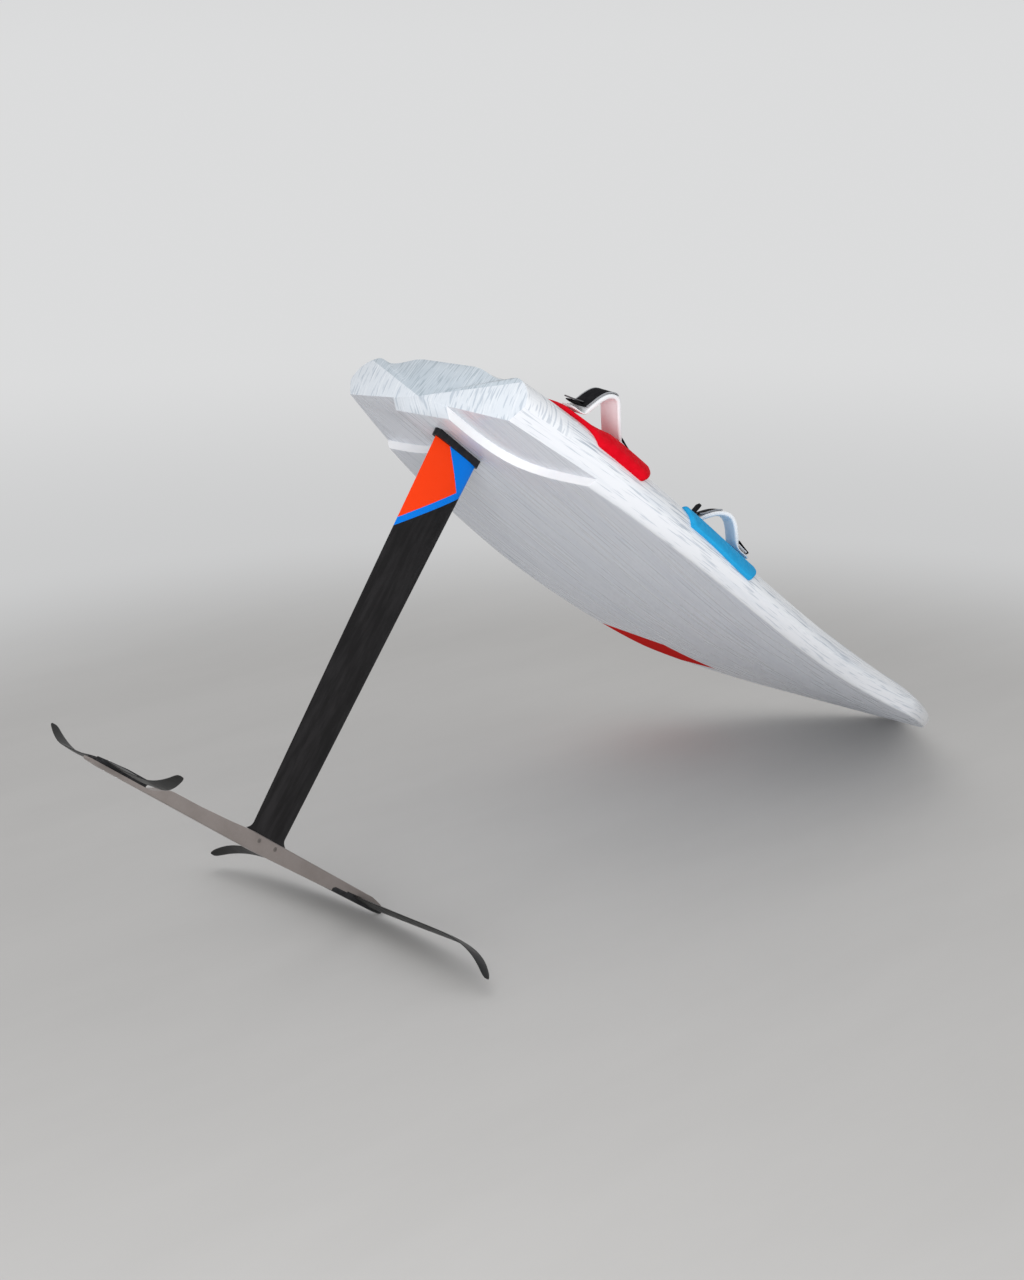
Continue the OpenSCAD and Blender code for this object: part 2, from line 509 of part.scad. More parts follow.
module fus_cross() union() {
  translate([-fus_w / 2 - 1, z_bot + c_r]) square([fus_w + 2, fus_h - 2 * c_r]);
  translate([-fus_w / 2 - 1 + c_r, z_bot]) square([fus_w + 2 - 2 * c_r, fus_h]);
  for (y = [-1, 1]) for (z = [z_bot + c_r, z_fus - c_r])
    translate([y * (fus_w / 2 + 1 - c_r), z]) circle(c_r, $fn = 40);
}
module fus_bar() intersection() {
  rotate([90, 0, 0]) translate([0, 0, -fus_w]) linear_extrude(2 * fus_w) polygon(fus_side);
  translate([0, 0, z_bot - 10]) linear_extrude(fus_h + 40) fus_plan();
}
module fuselage() color("#7d7470") rest() difference() {
  intersection() {
    fus_bar();
    translate([x_ft - 10, 0, 0]) rotate([90, 0, 90]) linear_extrude(fus_len + 20) fus_cross();
  }
  tenon(0.15);
  root_wedge(0.1);
  for (x = foot_x) translate([x, 0, foot_z]) rotate([90, 0, 0]) {
    translate([0, 0, -30]) cylinder(h = 60, r = 3.2, $fn = 32);
    translate([0, 0, fus_w / 2 - 3.5]) cylinder(h = 30, r = 5.4, $fn = 48);
  }
  for (x = wx) translate([x, 0, z_bot - 5]) cylinder(h = 5 + 0.88 * fus_h, r = 4.1, $fn = 32);
  for (x = tw) translate([x, 0, z_seat - 12]) cylinder(h = 50, r = 3.1, $fn = 32);
}
module foot_bolt(i) color("silver") rest() translate([foot_x[i], 0, foot_z]) rotate([90, 0, 0])
  difference() {
    union() {
      translate([0, 0, -fus_w / 2 + 2]) cylinder(h = fus_w - 4, r = 3, $fn = 32);
      translate([0, 0, fus_w / 2 - 3.4]) cylinder(h = 3, r = 5.2, $fn = 48);
    }
    translate([0, 0, fus_w / 2 - 2]) cylinder(h = 9, r = 2.4, $fn = 6);
  }
module foot_bolt_fore() foot_bolt(1);
module foot_bolt_aft() foot_bolt(0);

// ---- wings --------------------------------------------------------------------
function wing_ring(y, le, c, tk, z) =
  [for (p = foil(le, c, tk, 1.15, 0.75)) [p[0], y, z + p[1]]];
SPAN = concat([0, 0.045, 0.12], [for (i = [1 : 10]) 0.12 + 0.088 * i * (1 - 0.004 * i)], [0.985, 1]);
function spread(half_span) = concat([for (i = [len(SPAN) - 1 : -1 : 1]) -SPAN[i] * half_span],
  [for (s = SPAN) s * half_span]);
module front_wing() color("#1b1b1d") rest() difference() {
  union() {
    loft([for (y = spread(span_front / 2)) let (s = abs(y) / (span_front / 2))
      wing_ring(y, front_le(s), front_c(s) * (s > 0.99 ? 0.86 : 1), front_tk(s), front_z(s))]);
    intersection() {
      fus_bar();
      root_wedge(0);
    }
  }
  // the fuselage sits on the wing
  intersection() {
    difference() {
      translate([0, 0, z_bot - 20]) linear_extrude(fus_h + 40) fus_plan();
      root_wedge(0);
    }
    translate([x_fn - 300, -fus_w, z_bot + 0.4 * fus_h]) cube([400, 2 * fus_w, fus_h]);
  }
  for (x = wx) translate([x, 0, z_bot - 20]) {
    cylinder(h = 60, r = 4.2, $fn = 32);
    cylinder(h = 20 + 0.4 * fus_h, r = 7.3, $fn = 48);
  }
}
module wing_screw(x) color("silver") rest() translate([x, 0, 0]) difference() {
  union() {
    translate([0, 0, z_bot + 0.36 * fus_h]) cylinder(h = 0.5 * fus_h, r = 4, $fn = 32);
    translate([0, 0, z_bot + 0.4 * fus_h - 3.2]) cylinder(h = 3.2, r = 7, $fn = 48);
  }
  translate([0, 0, z_bot + 0.4 * fus_h - 8]) cylinder(h = 6.6, r = 3, $fn = 6);
}
module front_wing_screw_fore() wing_screw(wx[1]);
module front_wing_screw_aft() wing_screw(wx[0]);

shim_t = 5;
module tail_shim() color("#141415") rest() difference() {
  translate([0, 0, z_seat + 0.1]) linear_extrude(shim_t) union() {
    translate([x_ft + 12, -fus_w * 0.3]) square([0.165 * fus_len - 12, fus_w * 0.6]);
    translate([x_ft + 12, 0]) circle(fus_w * 0.3, $fn = 40);
    translate([x_ft + 0.165 * fus_len, 0]) circle(fus_w * 0.3, $fn = 40);
  }
  for (x = tw) translate([x, 0, z_seat - 5]) cylinder(h = 20, r = 3.3, $fn = 32);
}
module tail_wing() color("#1b1b1d") rest() difference() {
  union() {
    loft([for (y = spread(span_tail / 2)) let (s = abs(y) / (span_tail / 2))
      wing_ring(y, tail_le(s), tail_c(s) * (s > 0.99 ? 0.86 : 1), 8 * (1 - 0.5 * s), tail_z(s))]);
    intersection() {
      translate([0, 0, z_seat + shim_t + 0.2]) linear_extrude(14) union() {
        translate([x_ft + 30, -fus_w * 0.34]) square([0.165 * fus_len - 30, fus_w * 0.68]);
        translate([x_ft + 0.165 * fus_len, 0]) circle(fus_w * 0.34, $fn = 40);
      }
      rotate([90, 0, 0]) translate([0, 0, -fus_w]) linear_extrude(2 * fus_w)
        polygon([[x_ft, z_seat - 2], [x_ft, z_seat + 8], [x_ft + 30, z_seat + 11],
          [x_ft + 100, z_seat + 16], [x_ft + 300, z_seat + 16], [x_ft + 300, z_seat - 2]]);
    }
  }
  translate([x_ft - 40, -fus_w * 0.55, z_seat - 12]) cube([260, fus_w * 1.1, shim_t + 12.2]);
  for (x = tw) translate([x, 0, z_seat - 5]) {
    cylinder(h = 40, r = 3.3, $fn = 32);
    translate([0, 0, shim_t + 10]) cylinder(h = 20, r = 5.4, $fn = 48);
  }
}
module tail_screw(x) color("silver") rest() translate([x, 0, 0]) difference() {
  union() {
    translate([0, 0, z_seat - 10]) cylinder(h = 16 + shim_t, r = 3, $fn = 32);
    translate([0, 0, z_seat + shim_t + 5.1]) cylinder(h = 3, r = 5.2, $fn = 48);
  }
  translate([0, 0, z_seat + shim_t + 6.5]) cylinder(h = 9, r = 2.4, $fn = 6);
}
module tail_screw_fore() tail_screw(tw[0]);
module tail_screw_aft() tail_screw(tw[1]);

board_hull();
foil_box();
mast_track();
track_nut();
vent_plug();
pad_rear_stb();
pad_rear_port();
pad_front_stb();
pad_front_port();
strap_rear_stb();
strap_rear_port();
strap_front_stb();
strap_front_port();
cover_rear_stb();
cover_rear_port();
cover_front_stb();
cover_front_port();
insert_rear_stb();
insert_rear_port();
insert_front_stb();
insert_front_port();
screw_rear_stb();
screw_rear_port();
screw_front_stb();
screw_front_port();
mast_head();
mast();
head_bolt_fore();
head_bolt_aft();
barrel_fore();
barrel_aft();
fuselage();
foot_bolt_fore();
foot_bolt_aft();
front_wing();
front_wing_screw_fore();
front_wing_screw_aft();
tail_shim();
tail_wing();
tail_screw_fore();
tail_screw_aft();
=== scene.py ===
import bpy, bmesh, math
import numpy as np
from mathutils import Matrix, Vector


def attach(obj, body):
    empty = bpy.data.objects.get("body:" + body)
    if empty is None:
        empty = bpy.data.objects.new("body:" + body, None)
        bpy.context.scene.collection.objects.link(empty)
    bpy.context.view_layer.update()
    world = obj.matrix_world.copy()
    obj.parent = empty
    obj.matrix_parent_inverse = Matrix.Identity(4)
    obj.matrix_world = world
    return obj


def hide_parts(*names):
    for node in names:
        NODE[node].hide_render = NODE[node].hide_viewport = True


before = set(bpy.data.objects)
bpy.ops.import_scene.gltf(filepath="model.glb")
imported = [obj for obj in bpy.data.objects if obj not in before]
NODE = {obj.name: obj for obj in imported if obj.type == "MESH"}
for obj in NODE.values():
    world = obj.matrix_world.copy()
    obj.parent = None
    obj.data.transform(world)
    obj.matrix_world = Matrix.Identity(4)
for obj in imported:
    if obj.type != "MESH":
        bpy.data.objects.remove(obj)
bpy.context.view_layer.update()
SC = bpy.context.scene
SC.view_settings.view_transform = "Standard"

# ---------------------------------------------------------------- the board's own frame
# x to the nose, y to port, z out of the deck; W turns it into the rest pose
TILT = math.radians(38.1518)
W = Matrix.Translation((-0.372655, 0, 1.07272)) @ Matrix.Rotation(TILT, 4, "Y")
BACK = W.inverted()

# sizes in millimetres, as in the CAD source
L, HW, BT = 2180.0, 475.0, 136.0          # board: length, half width, thickness
MB, NR, TS = 135.0, 241.0, 0.617          # tail to mast, nose rocker, the tail's share of the width
CUT_D, CUT_L = 20.4, 233.0                # cut-outs under the tail: depth, length
ML, C_TOP, C_LOW = 991.0, 147.0, 103.0    # mast: length, chord at the top and at the foot
M_T, FL_T = 17.0, 17.0                    # mast: thickness, height of its head
FUS_L, FUS_H, FUS_W = 948.0, 40.0, 30.0   # fuselage: length, height, width
FUS_A = 0.472                             # its share ahead of the mast's middle
SPAN_F, C_F, DROOP = 992.0, 95.0, 46.0    # front wing: span, chord, how far its tips drop
SPAN_T, C_T, RISE = 468.0, 70.0, 30.0     # tail wing: span, chord, how far its tips rise
PAD_T = 11.0
S_SPAN, S_RISE, S_BAND, S_T = 123.0, 76.0, 66.0, 13.0   # strap: inner span and rise, width, thickness
# by place, False the rear one and True the front one: where a strap sits along the board, its
# share of the half width, and the degrees it is turned
SX = {False: 116.0, True: 582.0}
STRAP_OUT = {False: 0.67, True: 0.65}
STRAP_TURN = {False: 3, True: 28}
TRACK_L, TRACK_X = 300.0, 1000.0
X_TAIL = -MB
BEAK = 0.016 * L                          # how far the stern comes to a point behind the tail
LIFT = 4.5                                # strap feet above the pad
FULL_A, FULL_B, NOSE = 0.43, 0.695, 0.305  # shares of the length: full width from A to B, then the nose
ROCK_A, ROCK_L = 0.342, 0.658             # shares: where the bottom starts to rise, and over how much
MM = 0.001


def sm(a, b, v):
    s = min(1, max(0, (v - a) / (b - a)))
    return s * s * (3 - 2 * s)


def at_t(x):
    """share of the board's length at x"""
    return min(1, max(0, (x + MB) / L))


def rail_w(t):
    """half width"""
    if t < FULL_A:
        return HW * (1 - (1 - TS) * (1 - t / FULL_A) ** 2)
    if t < FULL_B:
        return HW
    return HW * max(0, 1 - ((t - FULL_B) / NOSE) ** 1.5) ** 0.9


def rocker(t):
    """height of the bottom"""
    s = max(0, t - ROCK_A) / ROCK_L
    return NR * (0.756 + 0.244 * s) * s * s


# share of the length, share of the thickness
TH = np.array([[0, 1], [0.2, 1], [0.45, 0.96], [0.6, 0.89], [0.7, 0.79], [0.8, 0.65],
               [0.88, 0.51], [0.94, 0.39], [0.98, 0.29], [1, 0.22]])
# the same table, eased so that the deck line has no kinks
EASE = 31
_tt = np.linspace(0, 1, 401)
_raw = np.interp(_tt, TH[:, 0], TH[:, 1])
_k = np.hanning(EASE)
_half = EASE // 2
_pad = np.concatenate([np.full(_half, _raw[0]), _raw,
                       _raw[-1] + (_raw[-1] - _raw[-2]) * np.arange(1, _half + 1)])
_soft = np.convolve(_pad, _k / _k.sum(), "valid")


def thick(t):
    return BT * float(np.interp(t, _tt, _soft))


def apex(t):
    """height of the rail's edge above the bottom"""
    return thick(t) * (0.42 - 0.18 * sm(0.02, 0.25, t))


def bevel_w(t):
    """width of the slanted band under the rail"""
    return min(45 - 12 * sm(0, 0.2, t) - 25 * sm(0.52, 0.72, t), rail_w(t) * 0.5)


def boxy(t):
    """exponent of the upper section: the higher, the squarer"""
    return 5.6 - 2.7 * sm(0.05, 0.35, t)


def scoop(t, u):
    """the deck drops towards the rail right at the tail"""
    return BT * (1 - sm(0, 0.022, t)) * 0.136 * (sm(0.3, 0.6, u) - sm(0.62, 0.82, u))


def deck(x, y):
    t = at_t(x)
    h = apex(t)
    u = min(1, abs(y) / rail_w(t))
    return rocker(t) + h + (thick(t) - h) * math.sqrt(max(0, 1 - u ** boxy(t)))


def shell(t, f, g=0.0):
    """(y, z) on the upper skin of a section at angle f in degrees, 0 at the rail; g mm above it."""
    w, h, top, r, p = rail_w(t), apex(t), thick(t), rocker(t), boxy(t)
    u = max(0.0, math.cos(math.radians(f))) ** (2 / p)
    return (w + g) * u, r + h + (top - h + g) * math.sin(math.radians(f)) - scoop(t, u)


# ---------------------------------------------------------------- node helpers
def mat_new(name):
    m = bpy.data.materials.new(name)
    m.use_nodes = True
    nt = m.node_tree
    return m, nt, nt.nodes["Principled BSDF"]


def nd(nt, kind, ins=None, **attrs):
    n = nt.nodes.new(kind)
    for k, v in attrs.items():
        setattr(n, k, v)
    for k, v in (ins or {}).items():
        s = n.inputs[k]
        if isinstance(v, bpy.types.NodeSocket):
            nt.links.new(v, s)
        else:
            s.default_value = v
    return n


def obj_co(nt, raw=False):
    """Coordinates in the board's own frame, or in the row frame when raw."""
    v = nd(nt, "ShaderNodeTexCoord").outputs["Object"]
    return v if raw else mapped(nt, v, rot=(0, -TILT, 0), loc=tuple(BACK.translation))


def mapped(nt, v, scale=(1, 1, 1), rot=(0, 0, 0), loc=(0, 0, 0)):
    ins = {"Vector": v, "Scale": scale, "Rotation": rot, "Location": loc}
    return nd(nt, "ShaderNodeMapping", ins).outputs[0]


def split(nt, v):
    return nd(nt, "ShaderNodeSeparateXYZ", {0: v}).outputs


def joined(nt, x, y):
    return nd(nt, "ShaderNodeCombineXYZ", {0: x, 1: y, 2: 0.0}).outputs[0]


def noise(nt, v, detail=2.0, rough=0.5):
    ins = {"Vector": v, "Scale": 1.0, "Detail": detail, "Roughness": rough, "Distortion": 0.0}
    return nd(nt, "ShaderNodeTexNoise", ins).outputs[0]


def cells(nt, v):
    return nd(nt, "ShaderNodeTexVoronoi", {"Vector": v, "Scale": 1.0}).outputs[0]


def ramp01(nt, v, lo, hi, a=0.0, b=1.0):
    ins = {0: v, 1: lo, 2: hi, 3: a, 4: b}
    return nd(nt, "ShaderNodeMapRange", ins, interpolation_type="SMOOTHSTEP").outputs[0]


def mathn(nt, op, a, b=0.0, c=0.0):
    return nd(nt, "ShaderNodeMath", {0: a, 1: b, 2: c}, operation=op).outputs[0]


def times(nt, a, b):
    return mathn(nt, "MULTIPLY", a, b)


def over(nt, a, b):
    return mathn(nt, "GREATER_THAN", a, b)


def under(nt, a, b):
    return mathn(nt, "LESS_THAN", a, b)


def mix(nt, f, a, b):
    """Blend of two colours, each a socket or (r, g, b)."""
    a, b = (v if isinstance(v, bpy.types.NodeSocket) else (*v, 1) for v in (a, b))
    return nd(nt, "ShaderNodeMix", {0: f, 6: a, 7: b}, data_type="RGBA").outputs[2]


def mix_f(nt, f, a, b):
    return nd(nt, "ShaderNodeMix", {0: f, 2: a, 3: b}, data_type="FLOAT").outputs[0]


def tint(nt, c, f, amount, color):
    """Lay color over c where f says, at most by amount."""
    return mix(nt, times(nt, f, amount), c, color)


def bump(nt, h, strength, dist):
    return nd(nt, "ShaderNodeBump", {"Height": h, "Strength": strength, "Distance": dist}).outputs[0]


def put(nt, bsdf, color=None, rough=None, normal=None, **other):
    for key, v in (("Base Color", color), ("Roughness", rough), ("Normal", normal), *other.items()):
        key = key.replace("_", " ")
        if v is None:
            continue
        if isinstance(v, bpy.types.NodeSocket):
            nt.links.new(v, bsdf.inputs[key])
        elif key == "Base Color":
            bsdf.inputs[key].default_value = (*v, 1)
        else:
            bsdf.inputs[key].default_value = v


def strokes(nt, v, along, across, seed, lo, hi, detail=1.5):
    """Short marks that run along the first axis of v; lo and hi say how sparse and how soft."""
    v = mapped(nt, v, (along, across, across), (0, 0, 0), (seed, seed * 0.7, seed * 0.3))
    return ramp01(nt, noise(nt, v, detail, 0.55), lo, hi)


# ---------------------------------------------------------------- board materials
WHITE = (0.80, 0.825, 0.86)
LINE = (0.40, 0.455, 0.53)
SOFT_LINE = (0.58, 0.63, 0.70)
SKIN = 0.0006                 # depth of the skin's bumps
# plain red panel along the port edge under the nose: y * SLANT + x > LINE_AT, x < FORE, y > SIDE
PANEL_RED = (0.62, 0.025, 0.022)
PANEL_SLANT, PANEL_LINE_AT, PANEL_FORE, PANEL_SIDE = 0.61, 1.442, 1.52, 0.288
# thin broken blue line along the edge of the deck
DASH_BLUE = (0.03, 0.26, 0.55)
DASH_SHARE, DASH_HALF, DASH_AFT, DASH_FORE = 0.874, 0.009, 0.76, 1.93


def run_uv(nt):
    """Metres along the board and across the skin."""
    return nd(nt, "ShaderNodeUVMap", uv_map="run").outputs[0]


def share_of(nt):
    """Share of the half width."""
    return nd(nt, "ShaderNodeAttribute", attribute_name="share").outputs["Fac"]


def bottom_skin(nt, b, co, panel):
    c = tint(nt, (0.675, 0.705, 0.765), strokes(nt, co, 2.2, 95, 3.1, 0.40, 0.62, 2.5), 0.55, (0.55, 0.585, 0.65))
    c = tint(nt, c, strokes(nt, co, 5.0, 190, 8.7, 0.50, 0.70), 0.35, (0.74, 0.76, 0.79))
    c = tint(nt, c, strokes(nt, co, 9.0, 150, 21.0, 0.655, 0.72, 1.0), 0.45, LINE)
    big = ramp01(nt, noise(nt, mapped(nt, co, (1.1, 7, 7)), 1.5), 0.35, 0.65)
    c = tint(nt, c, big, 0.22, (0.72, 0.735, 0.76))
    gloss = 0.3
    if panel:
        x, y, _ = split(nt, co)
        e = mathn(nt, "MULTIPLY_ADD", y, PANEL_SLANT, x)
        inside = times(nt, over(nt, e, PANEL_LINE_AT), under(nt, x, PANEL_FORE))
        inside = times(nt, inside, over(nt, y, PANEL_SIDE))
        c = mix(nt, inside, c, PANEL_RED)
        gloss = mathn(nt, "MULTIPLY_ADD", inside, -0.3, 0.3)
    r = ramp01(nt, noise(nt, mapped(nt, co, (3, 60, 60))), 0.3, 0.7, 0.24, 0.38)
    h = noise(nt, mapped(nt, co, (2.0, 120, 120)), 3)
    put(nt, b, c, r, bump(nt, h, 0.06, SKIN), Specular_IOR_Level=gloss)


def band_skin(nt, b, co):
    v = run_uv(nt)
    f1 = strokes(nt, v, 3.5, 85, 6.0, 0.48, 0.74, 3.0)
    c = tint(nt, (0.80, 0.82, 0.86), f1, 0.34, (0.62, 0.665, 0.73))
    c = tint(nt, c, strokes(nt, v, 14.0, 260, 31.0, 0.58, 0.68, 1.5), 0.55, LINE)
    put(nt, b, c, ramp01(nt, f1, 0, 1, 0.18, 0.28), bump(nt, f1, 0.04, SKIN),
        Coat_Weight=0.3, Coat_Roughness=0.10)


def rail_skin(nt, b, co):
    v = run_uv(nt)
    x, _, z = split(nt, co)
    f1 = strokes(nt, v, 3.5, 85, 2.0, 0.46, 0.72, 3.0)
    soft = ramp01(nt, noise(nt, mapped(nt, v, (2.2, 16, 16))), 0.35, 0.7)
    c = tint(nt, WHITE, soft, 0.30, (0.70, 0.74, 0.80))
    c = tint(nt, c, f1, 0.42, SOFT_LINE)
    c = tint(nt, c, strokes(nt, v, 14.0, 270, 14.0, 0.55, 0.65, 1.5), 0.60, LINE)
    c = tint(nt, c, strokes(nt, v, 11.0, 200, 41.0, 0.60, 0.67, 1.0), 0.60, (0.28, 0.34, 0.42))
    # near the tail the marks stand upright
    cross = strokes(nt, joined(nt, z, x), 20.0, 150, 3.3, 0.52, 0.62, 1.0)
    c = mix(nt, ramp01(nt, x, -0.045, 0.0, 1, 0), c, tint(nt, WHITE, cross, 0.60, LINE))
    near = under(nt, mathn(nt, "ABSOLUTE", mathn(nt, "SUBTRACT", share_of(nt), DASH_SHARE)), DASH_HALF)
    dash = over(nt, mathn(nt, "SINE", mathn(nt, "MULTIPLY_ADD", x, 24.0, 1.2)), 0.10)
    band = times(nt, over(nt, x, DASH_AFT), under(nt, x, DASH_FORE))
    c = mix(nt, times(nt, times(nt, near, dash), band), c, DASH_BLUE)
    put(nt, b, c, ramp01(nt, f1, 0, 1, 0.20, 0.32), bump(nt, f1, 0.05, SKIN),
        Coat_Weight=0.3, Coat_Roughness=0.10)


def deck_skin(nt, b, co):
    v = run_uv(nt)
    x = split(nt, co)[0]
    c = tint(nt, WHITE, strokes(nt, v, 3.5, 85, 2.0, 0.46, 0.72, 3.0), 0.42, SOFT_LINE)
    c = tint(nt, c, strokes(nt, v, 11.0, 175, 14.0, 0.60, 0.68, 1.0), 0.60, LINE)
    # non-skid grit on the inner part
    grit = noise(nt, mapped(nt, co, (900, 900, 900)), 1.0)
    ends = times(nt, ramp01(nt, x, -0.06, -0.05), ramp01(nt, x, 1.62, 1.60))
    inner = times(nt, ramp01(nt, share_of(nt), 0.80, 0.78), ends)
    c = tint(nt, c, inner, ramp01(nt, grit, 0.35, 0.65, 0, 0.35), (0.60, 0.62, 0.65))
    put(nt, b, c, mathn(nt, "MULTIPLY_ADD", inner, 0.40, 0.25), bump(nt, times(nt, grit, inner), 0.5, 0.0005))


def tail_skin(nt, b, co, up):
    """The stern's facets: up for the ones that face the sky at rest, which get a darker blue-grey base and marks
    as painted shade on the same white laminate.
    """
    _, y, z = split(nt, co)
    v = joined(nt, z, mathn(nt, "MULTIPLY_ADD", z, -0.10 if up else -0.16, y))
    f1 = strokes(nt, v, 24.0, 200 if up else 150, 2.5, 0.54, 0.64, 1.0)
    f2 = strokes(nt, v, 10.0, 190, 9.0, 0.50, 0.72, 2.0)
    # painted shade: the upper facets are the same laminate as the lower ones, painted a darker blue-grey; the
    # streaks themselves are the laminate's own
    base, low, pale = ((0.52, 0.59, 0.655), (0.29, 0.36, 0.41), (0.70, 0.75, 0.80)) if up else \
        ((0.72, 0.77, 0.83), (0.40, 0.47, 0.55), (0.86, 0.88, 0.91))
    c = tint(nt, tint(nt, base, f1, 0.62, low), f2, 0.38, pale)
    put(nt, b, c, ramp01(nt, f2, 0, 1, 0.22, 0.34), bump(nt, f1, 0.05, SKIN),
        Coat_Weight=0.25, Coat_Roughness=0.1)


def wall_skin(nt, b, co):
    f = noise(nt, mapped(nt, co, (25, 25, 60)))
    c = mix(nt, ramp01(nt, f, 0.35, 0.7, 0, 0.25), (0.90, 0.91, 0.935), (0.80, 0.83, 0.87))
    put(nt, b, c, 0.35, bump(nt, f, 0.04, 0.002), Coat_Weight=0.15, Coat_Roughness=0.25)


def pocket_skin(nt, b, co):
    f = noise(nt, mapped(nt, co, (60, 60, 60)))
    put(nt, b, mix(nt, f, (0.03, 0.03, 0.033), (0.06, 0.06, 0.065)), 0.6)


SKINS = {"bottom": lambda *a: bottom_skin(*a, True), "band": band_skin, "rail": rail_skin,
         "deck": deck_skin, "tailup_shaded": lambda *a: tail_skin(*a, True),
         "taillow": lambda *a: tail_skin(*a, False), "cutfloor": lambda *a: bottom_skin(*a, False),
         "wall": wall_skin, "pocket": pocket_skin}
BOARD_MATS, MI = [], {}
for kind, skin in SKINS.items():
    m, nt, b = mat_new("board_" + kind)
    skin(nt, b, obj_co(nt))
    MI[kind] = len(BOARD_MATS)
    BOARD_MATS.append(m)


# ---------------------------------------------------------------- mesh helpers
def mesh_obj(name, verts, faces, mats=(), fmat=None, scale=MM, local=True):
    """A mesh from points in the board's frame, or in the row frame when not local."""
    me = bpy.data.meshes.new(name)
    me.from_pydata([tuple(np.asarray(v, float) * scale) for v in verts], [],
                   [tuple(int(i) for i in f) for f in faces])
    for m in mats:
        me.materials.append(m)
    if fmat is not None:
        me.polygons.foreach_set("material_index", np.asarray(fmat, np.int32))
    o = bpy.data.objects.new(name, me)
    SC.collection.objects.link(o)
    if local:
        me.transform(W)
    return o


def smooth(o, angle):
    me = o.data
    me.polygons.foreach_set("use_smooth", [True] * len(me.polygons))
    me.set_sharp_from_angle(angle=math.radians(angle))
    me.update()


def normals_out(o):
    b = bmesh.new()
    b.from_mesh(o.data)
    bmesh.ops.recalc_face_normals(b, faces=b.faces)
    b.to_mesh(o.data)
    b.free()


def round_edges(o, width, segments, angle):
    m = o.modifiers.new("edges", "BEVEL")
    m.width, m.segments = width, segments
    m.limit_method = "ANGLE"
    m.angle_limit = math.radians(angle)


def apply_all(o):
    dg = bpy.context.evaluated_depsgraph_get()
    me = bpy.data.meshes.new_from_object(o.evaluated_get(dg), preserve_all_data_layers=True,
                                         depsgraph=dg)
    o.modifiers.clear()
    old = o.data
    o.data = me
    bpy.data.meshes.remove(old)


def cut(o, cutter):
    m = o.modifiers.new("cut", "BOOLEAN")
    m.operation = "DIFFERENCE"
    m.solver = "EXACT"
    m.material_mode = "TRANSFER"
    m.object = cutter
    apply_all(o)
    me = cutter.data
    bpy.data.objects.remove(cutter)
    bpy.data.meshes.remove(me)


def grid_faces(m, n, wrap=True):
    """Faces between m rows of n points each."""
    out = []
    for i in range(m - 1):
        for j in range(n if wrap else n - 1):
            k = (j + 1) % n
            out.append((i * n + j, i * n + k, (i + 1) * n + k, (i + 1) * n + j))
    return out


def tube_faces(m, n):
    """The same, closed at both ends."""
    return grid_faces(m, n) + [tuple(range(n))[::-1], tuple((m - 1) * n + j for j in range(n))]


def loft(name, rings, mats):
    """Closed skin through rings of equal count."""
    o = mesh_obj(name, [p for r in rings for p in r], tube_faces(len(rings), len(rings[0])), mats)
    normals_out(o)
    return o


def prism(name, pts, z0, z1, mats, fside=0, ftop=0):
    """Upright prism over a plan."""
    n = len(pts)
    verts = [(x, y, z0) for x, y in pts] + [(x, y, z1) for x, y in pts]
    faces = [(i, (i + 1) % n, n + (i + 1) % n, n + i) for i in range(n)]
    faces += [tuple(range(n))[::-1], tuple(range(n, 2 * n))]
    o = mesh_obj(name, verts, faces, mats, [fside] * n + [ftop, ftop])
    normals_out(o)
    return o


def rect(hx, hy):
    return [(-hx, -hy), (hx, -hy), (hx, hy), (-hx, hy)]


def bend(p0, p1, p2, qs):
    """Points of a rounded corner from p0 past p1 to p2."""
    return [tuple((1 - q) ** 2 * p0[i] + 2 * q * (1 - q) * p1[i] + q * q * p2[i] for i in (0, 1)) for q in qs]


def own(o, slot, *nodes, body="board"):
    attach(o, body)
    if nodes:
        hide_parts(*nodes)
    return o


def piece(name, verts, faces, mat, angle, slot, *nodes):
    o = mesh_obj(name, verts, faces, [mat])
    normals_out(o)
    smooth(o, angle)
    return own(o, slot, *nodes)


# ---------------------------------------------------------------- hull
FLAT_STEPS = (0, 0.25, 0.5, 0.72, 0.88, 0.96)   # shares of the flat bottom
CHINE = len(FLAT_STEPS)                         # index of the edge between bottom and band
RAIL_END = 50                                   # degrees on the upper skin where the deck begins
PORT_SHIFT = 3.3                                # moves the marks of the port side off the starboard ones


def half_section(t):
    """Points from the middle of the bottom round the rail to the middle of the deck, each with its zone."""
    w, h, b, r = rail_w(t), apex(t), bevel_w(t), rocker(t)
    fl = min(4.0, 0.25 * b)
    ex = 1.3 + 0.4 * sm(0, 0.2, t)
    inner = w - b - fl
    pts = [(inner * s, r) for s in FLAT_STEPS]
    s2 = min(0.5, fl / b)
    pts += bend((inner, r), (w - b, r), (w - b + b * s2, r + h * s2 ** ex), (0, 0.33, 0.67))
    tag = ["bottom"] * (CHINE + 1) + ["band"] * 2
    for s in np.linspace(s2, 1, 8)[:-1]:
        pts.append((w - b + b * s, r + h * s ** ex))
        tag.append("band")
    for f in np.concatenate([np.linspace(0, 66, 27)[:-1], np.linspace(66, 90, 14)]):
        pts.append(shell(t, f))
        tag.append("rail" if f < RAIL_END else "deck")
    return pts, tag


def run_of(pts):
    """lengths along a line of points"""
    s = [0.0]
    for a, b in zip(pts, pts[1:]):
        s.append(s[-1] + math.hypot(b[0] - a[0], b[1] - a[1]))
    return s


def cut_wall(s):
    """the curved side of a cut-out under the tail"""
    return X_TAIL + CUT_L * (1 - (1 - s) ** 2.6), -(0.19 * HW + 0.55 * HW * s ** 2.4)


def cutter(pts, z0, z1, side="pocket", top="pocket"):
    return prism("cutter", pts, z0, z1, BOARD_MATS, MI[side], MI[top])


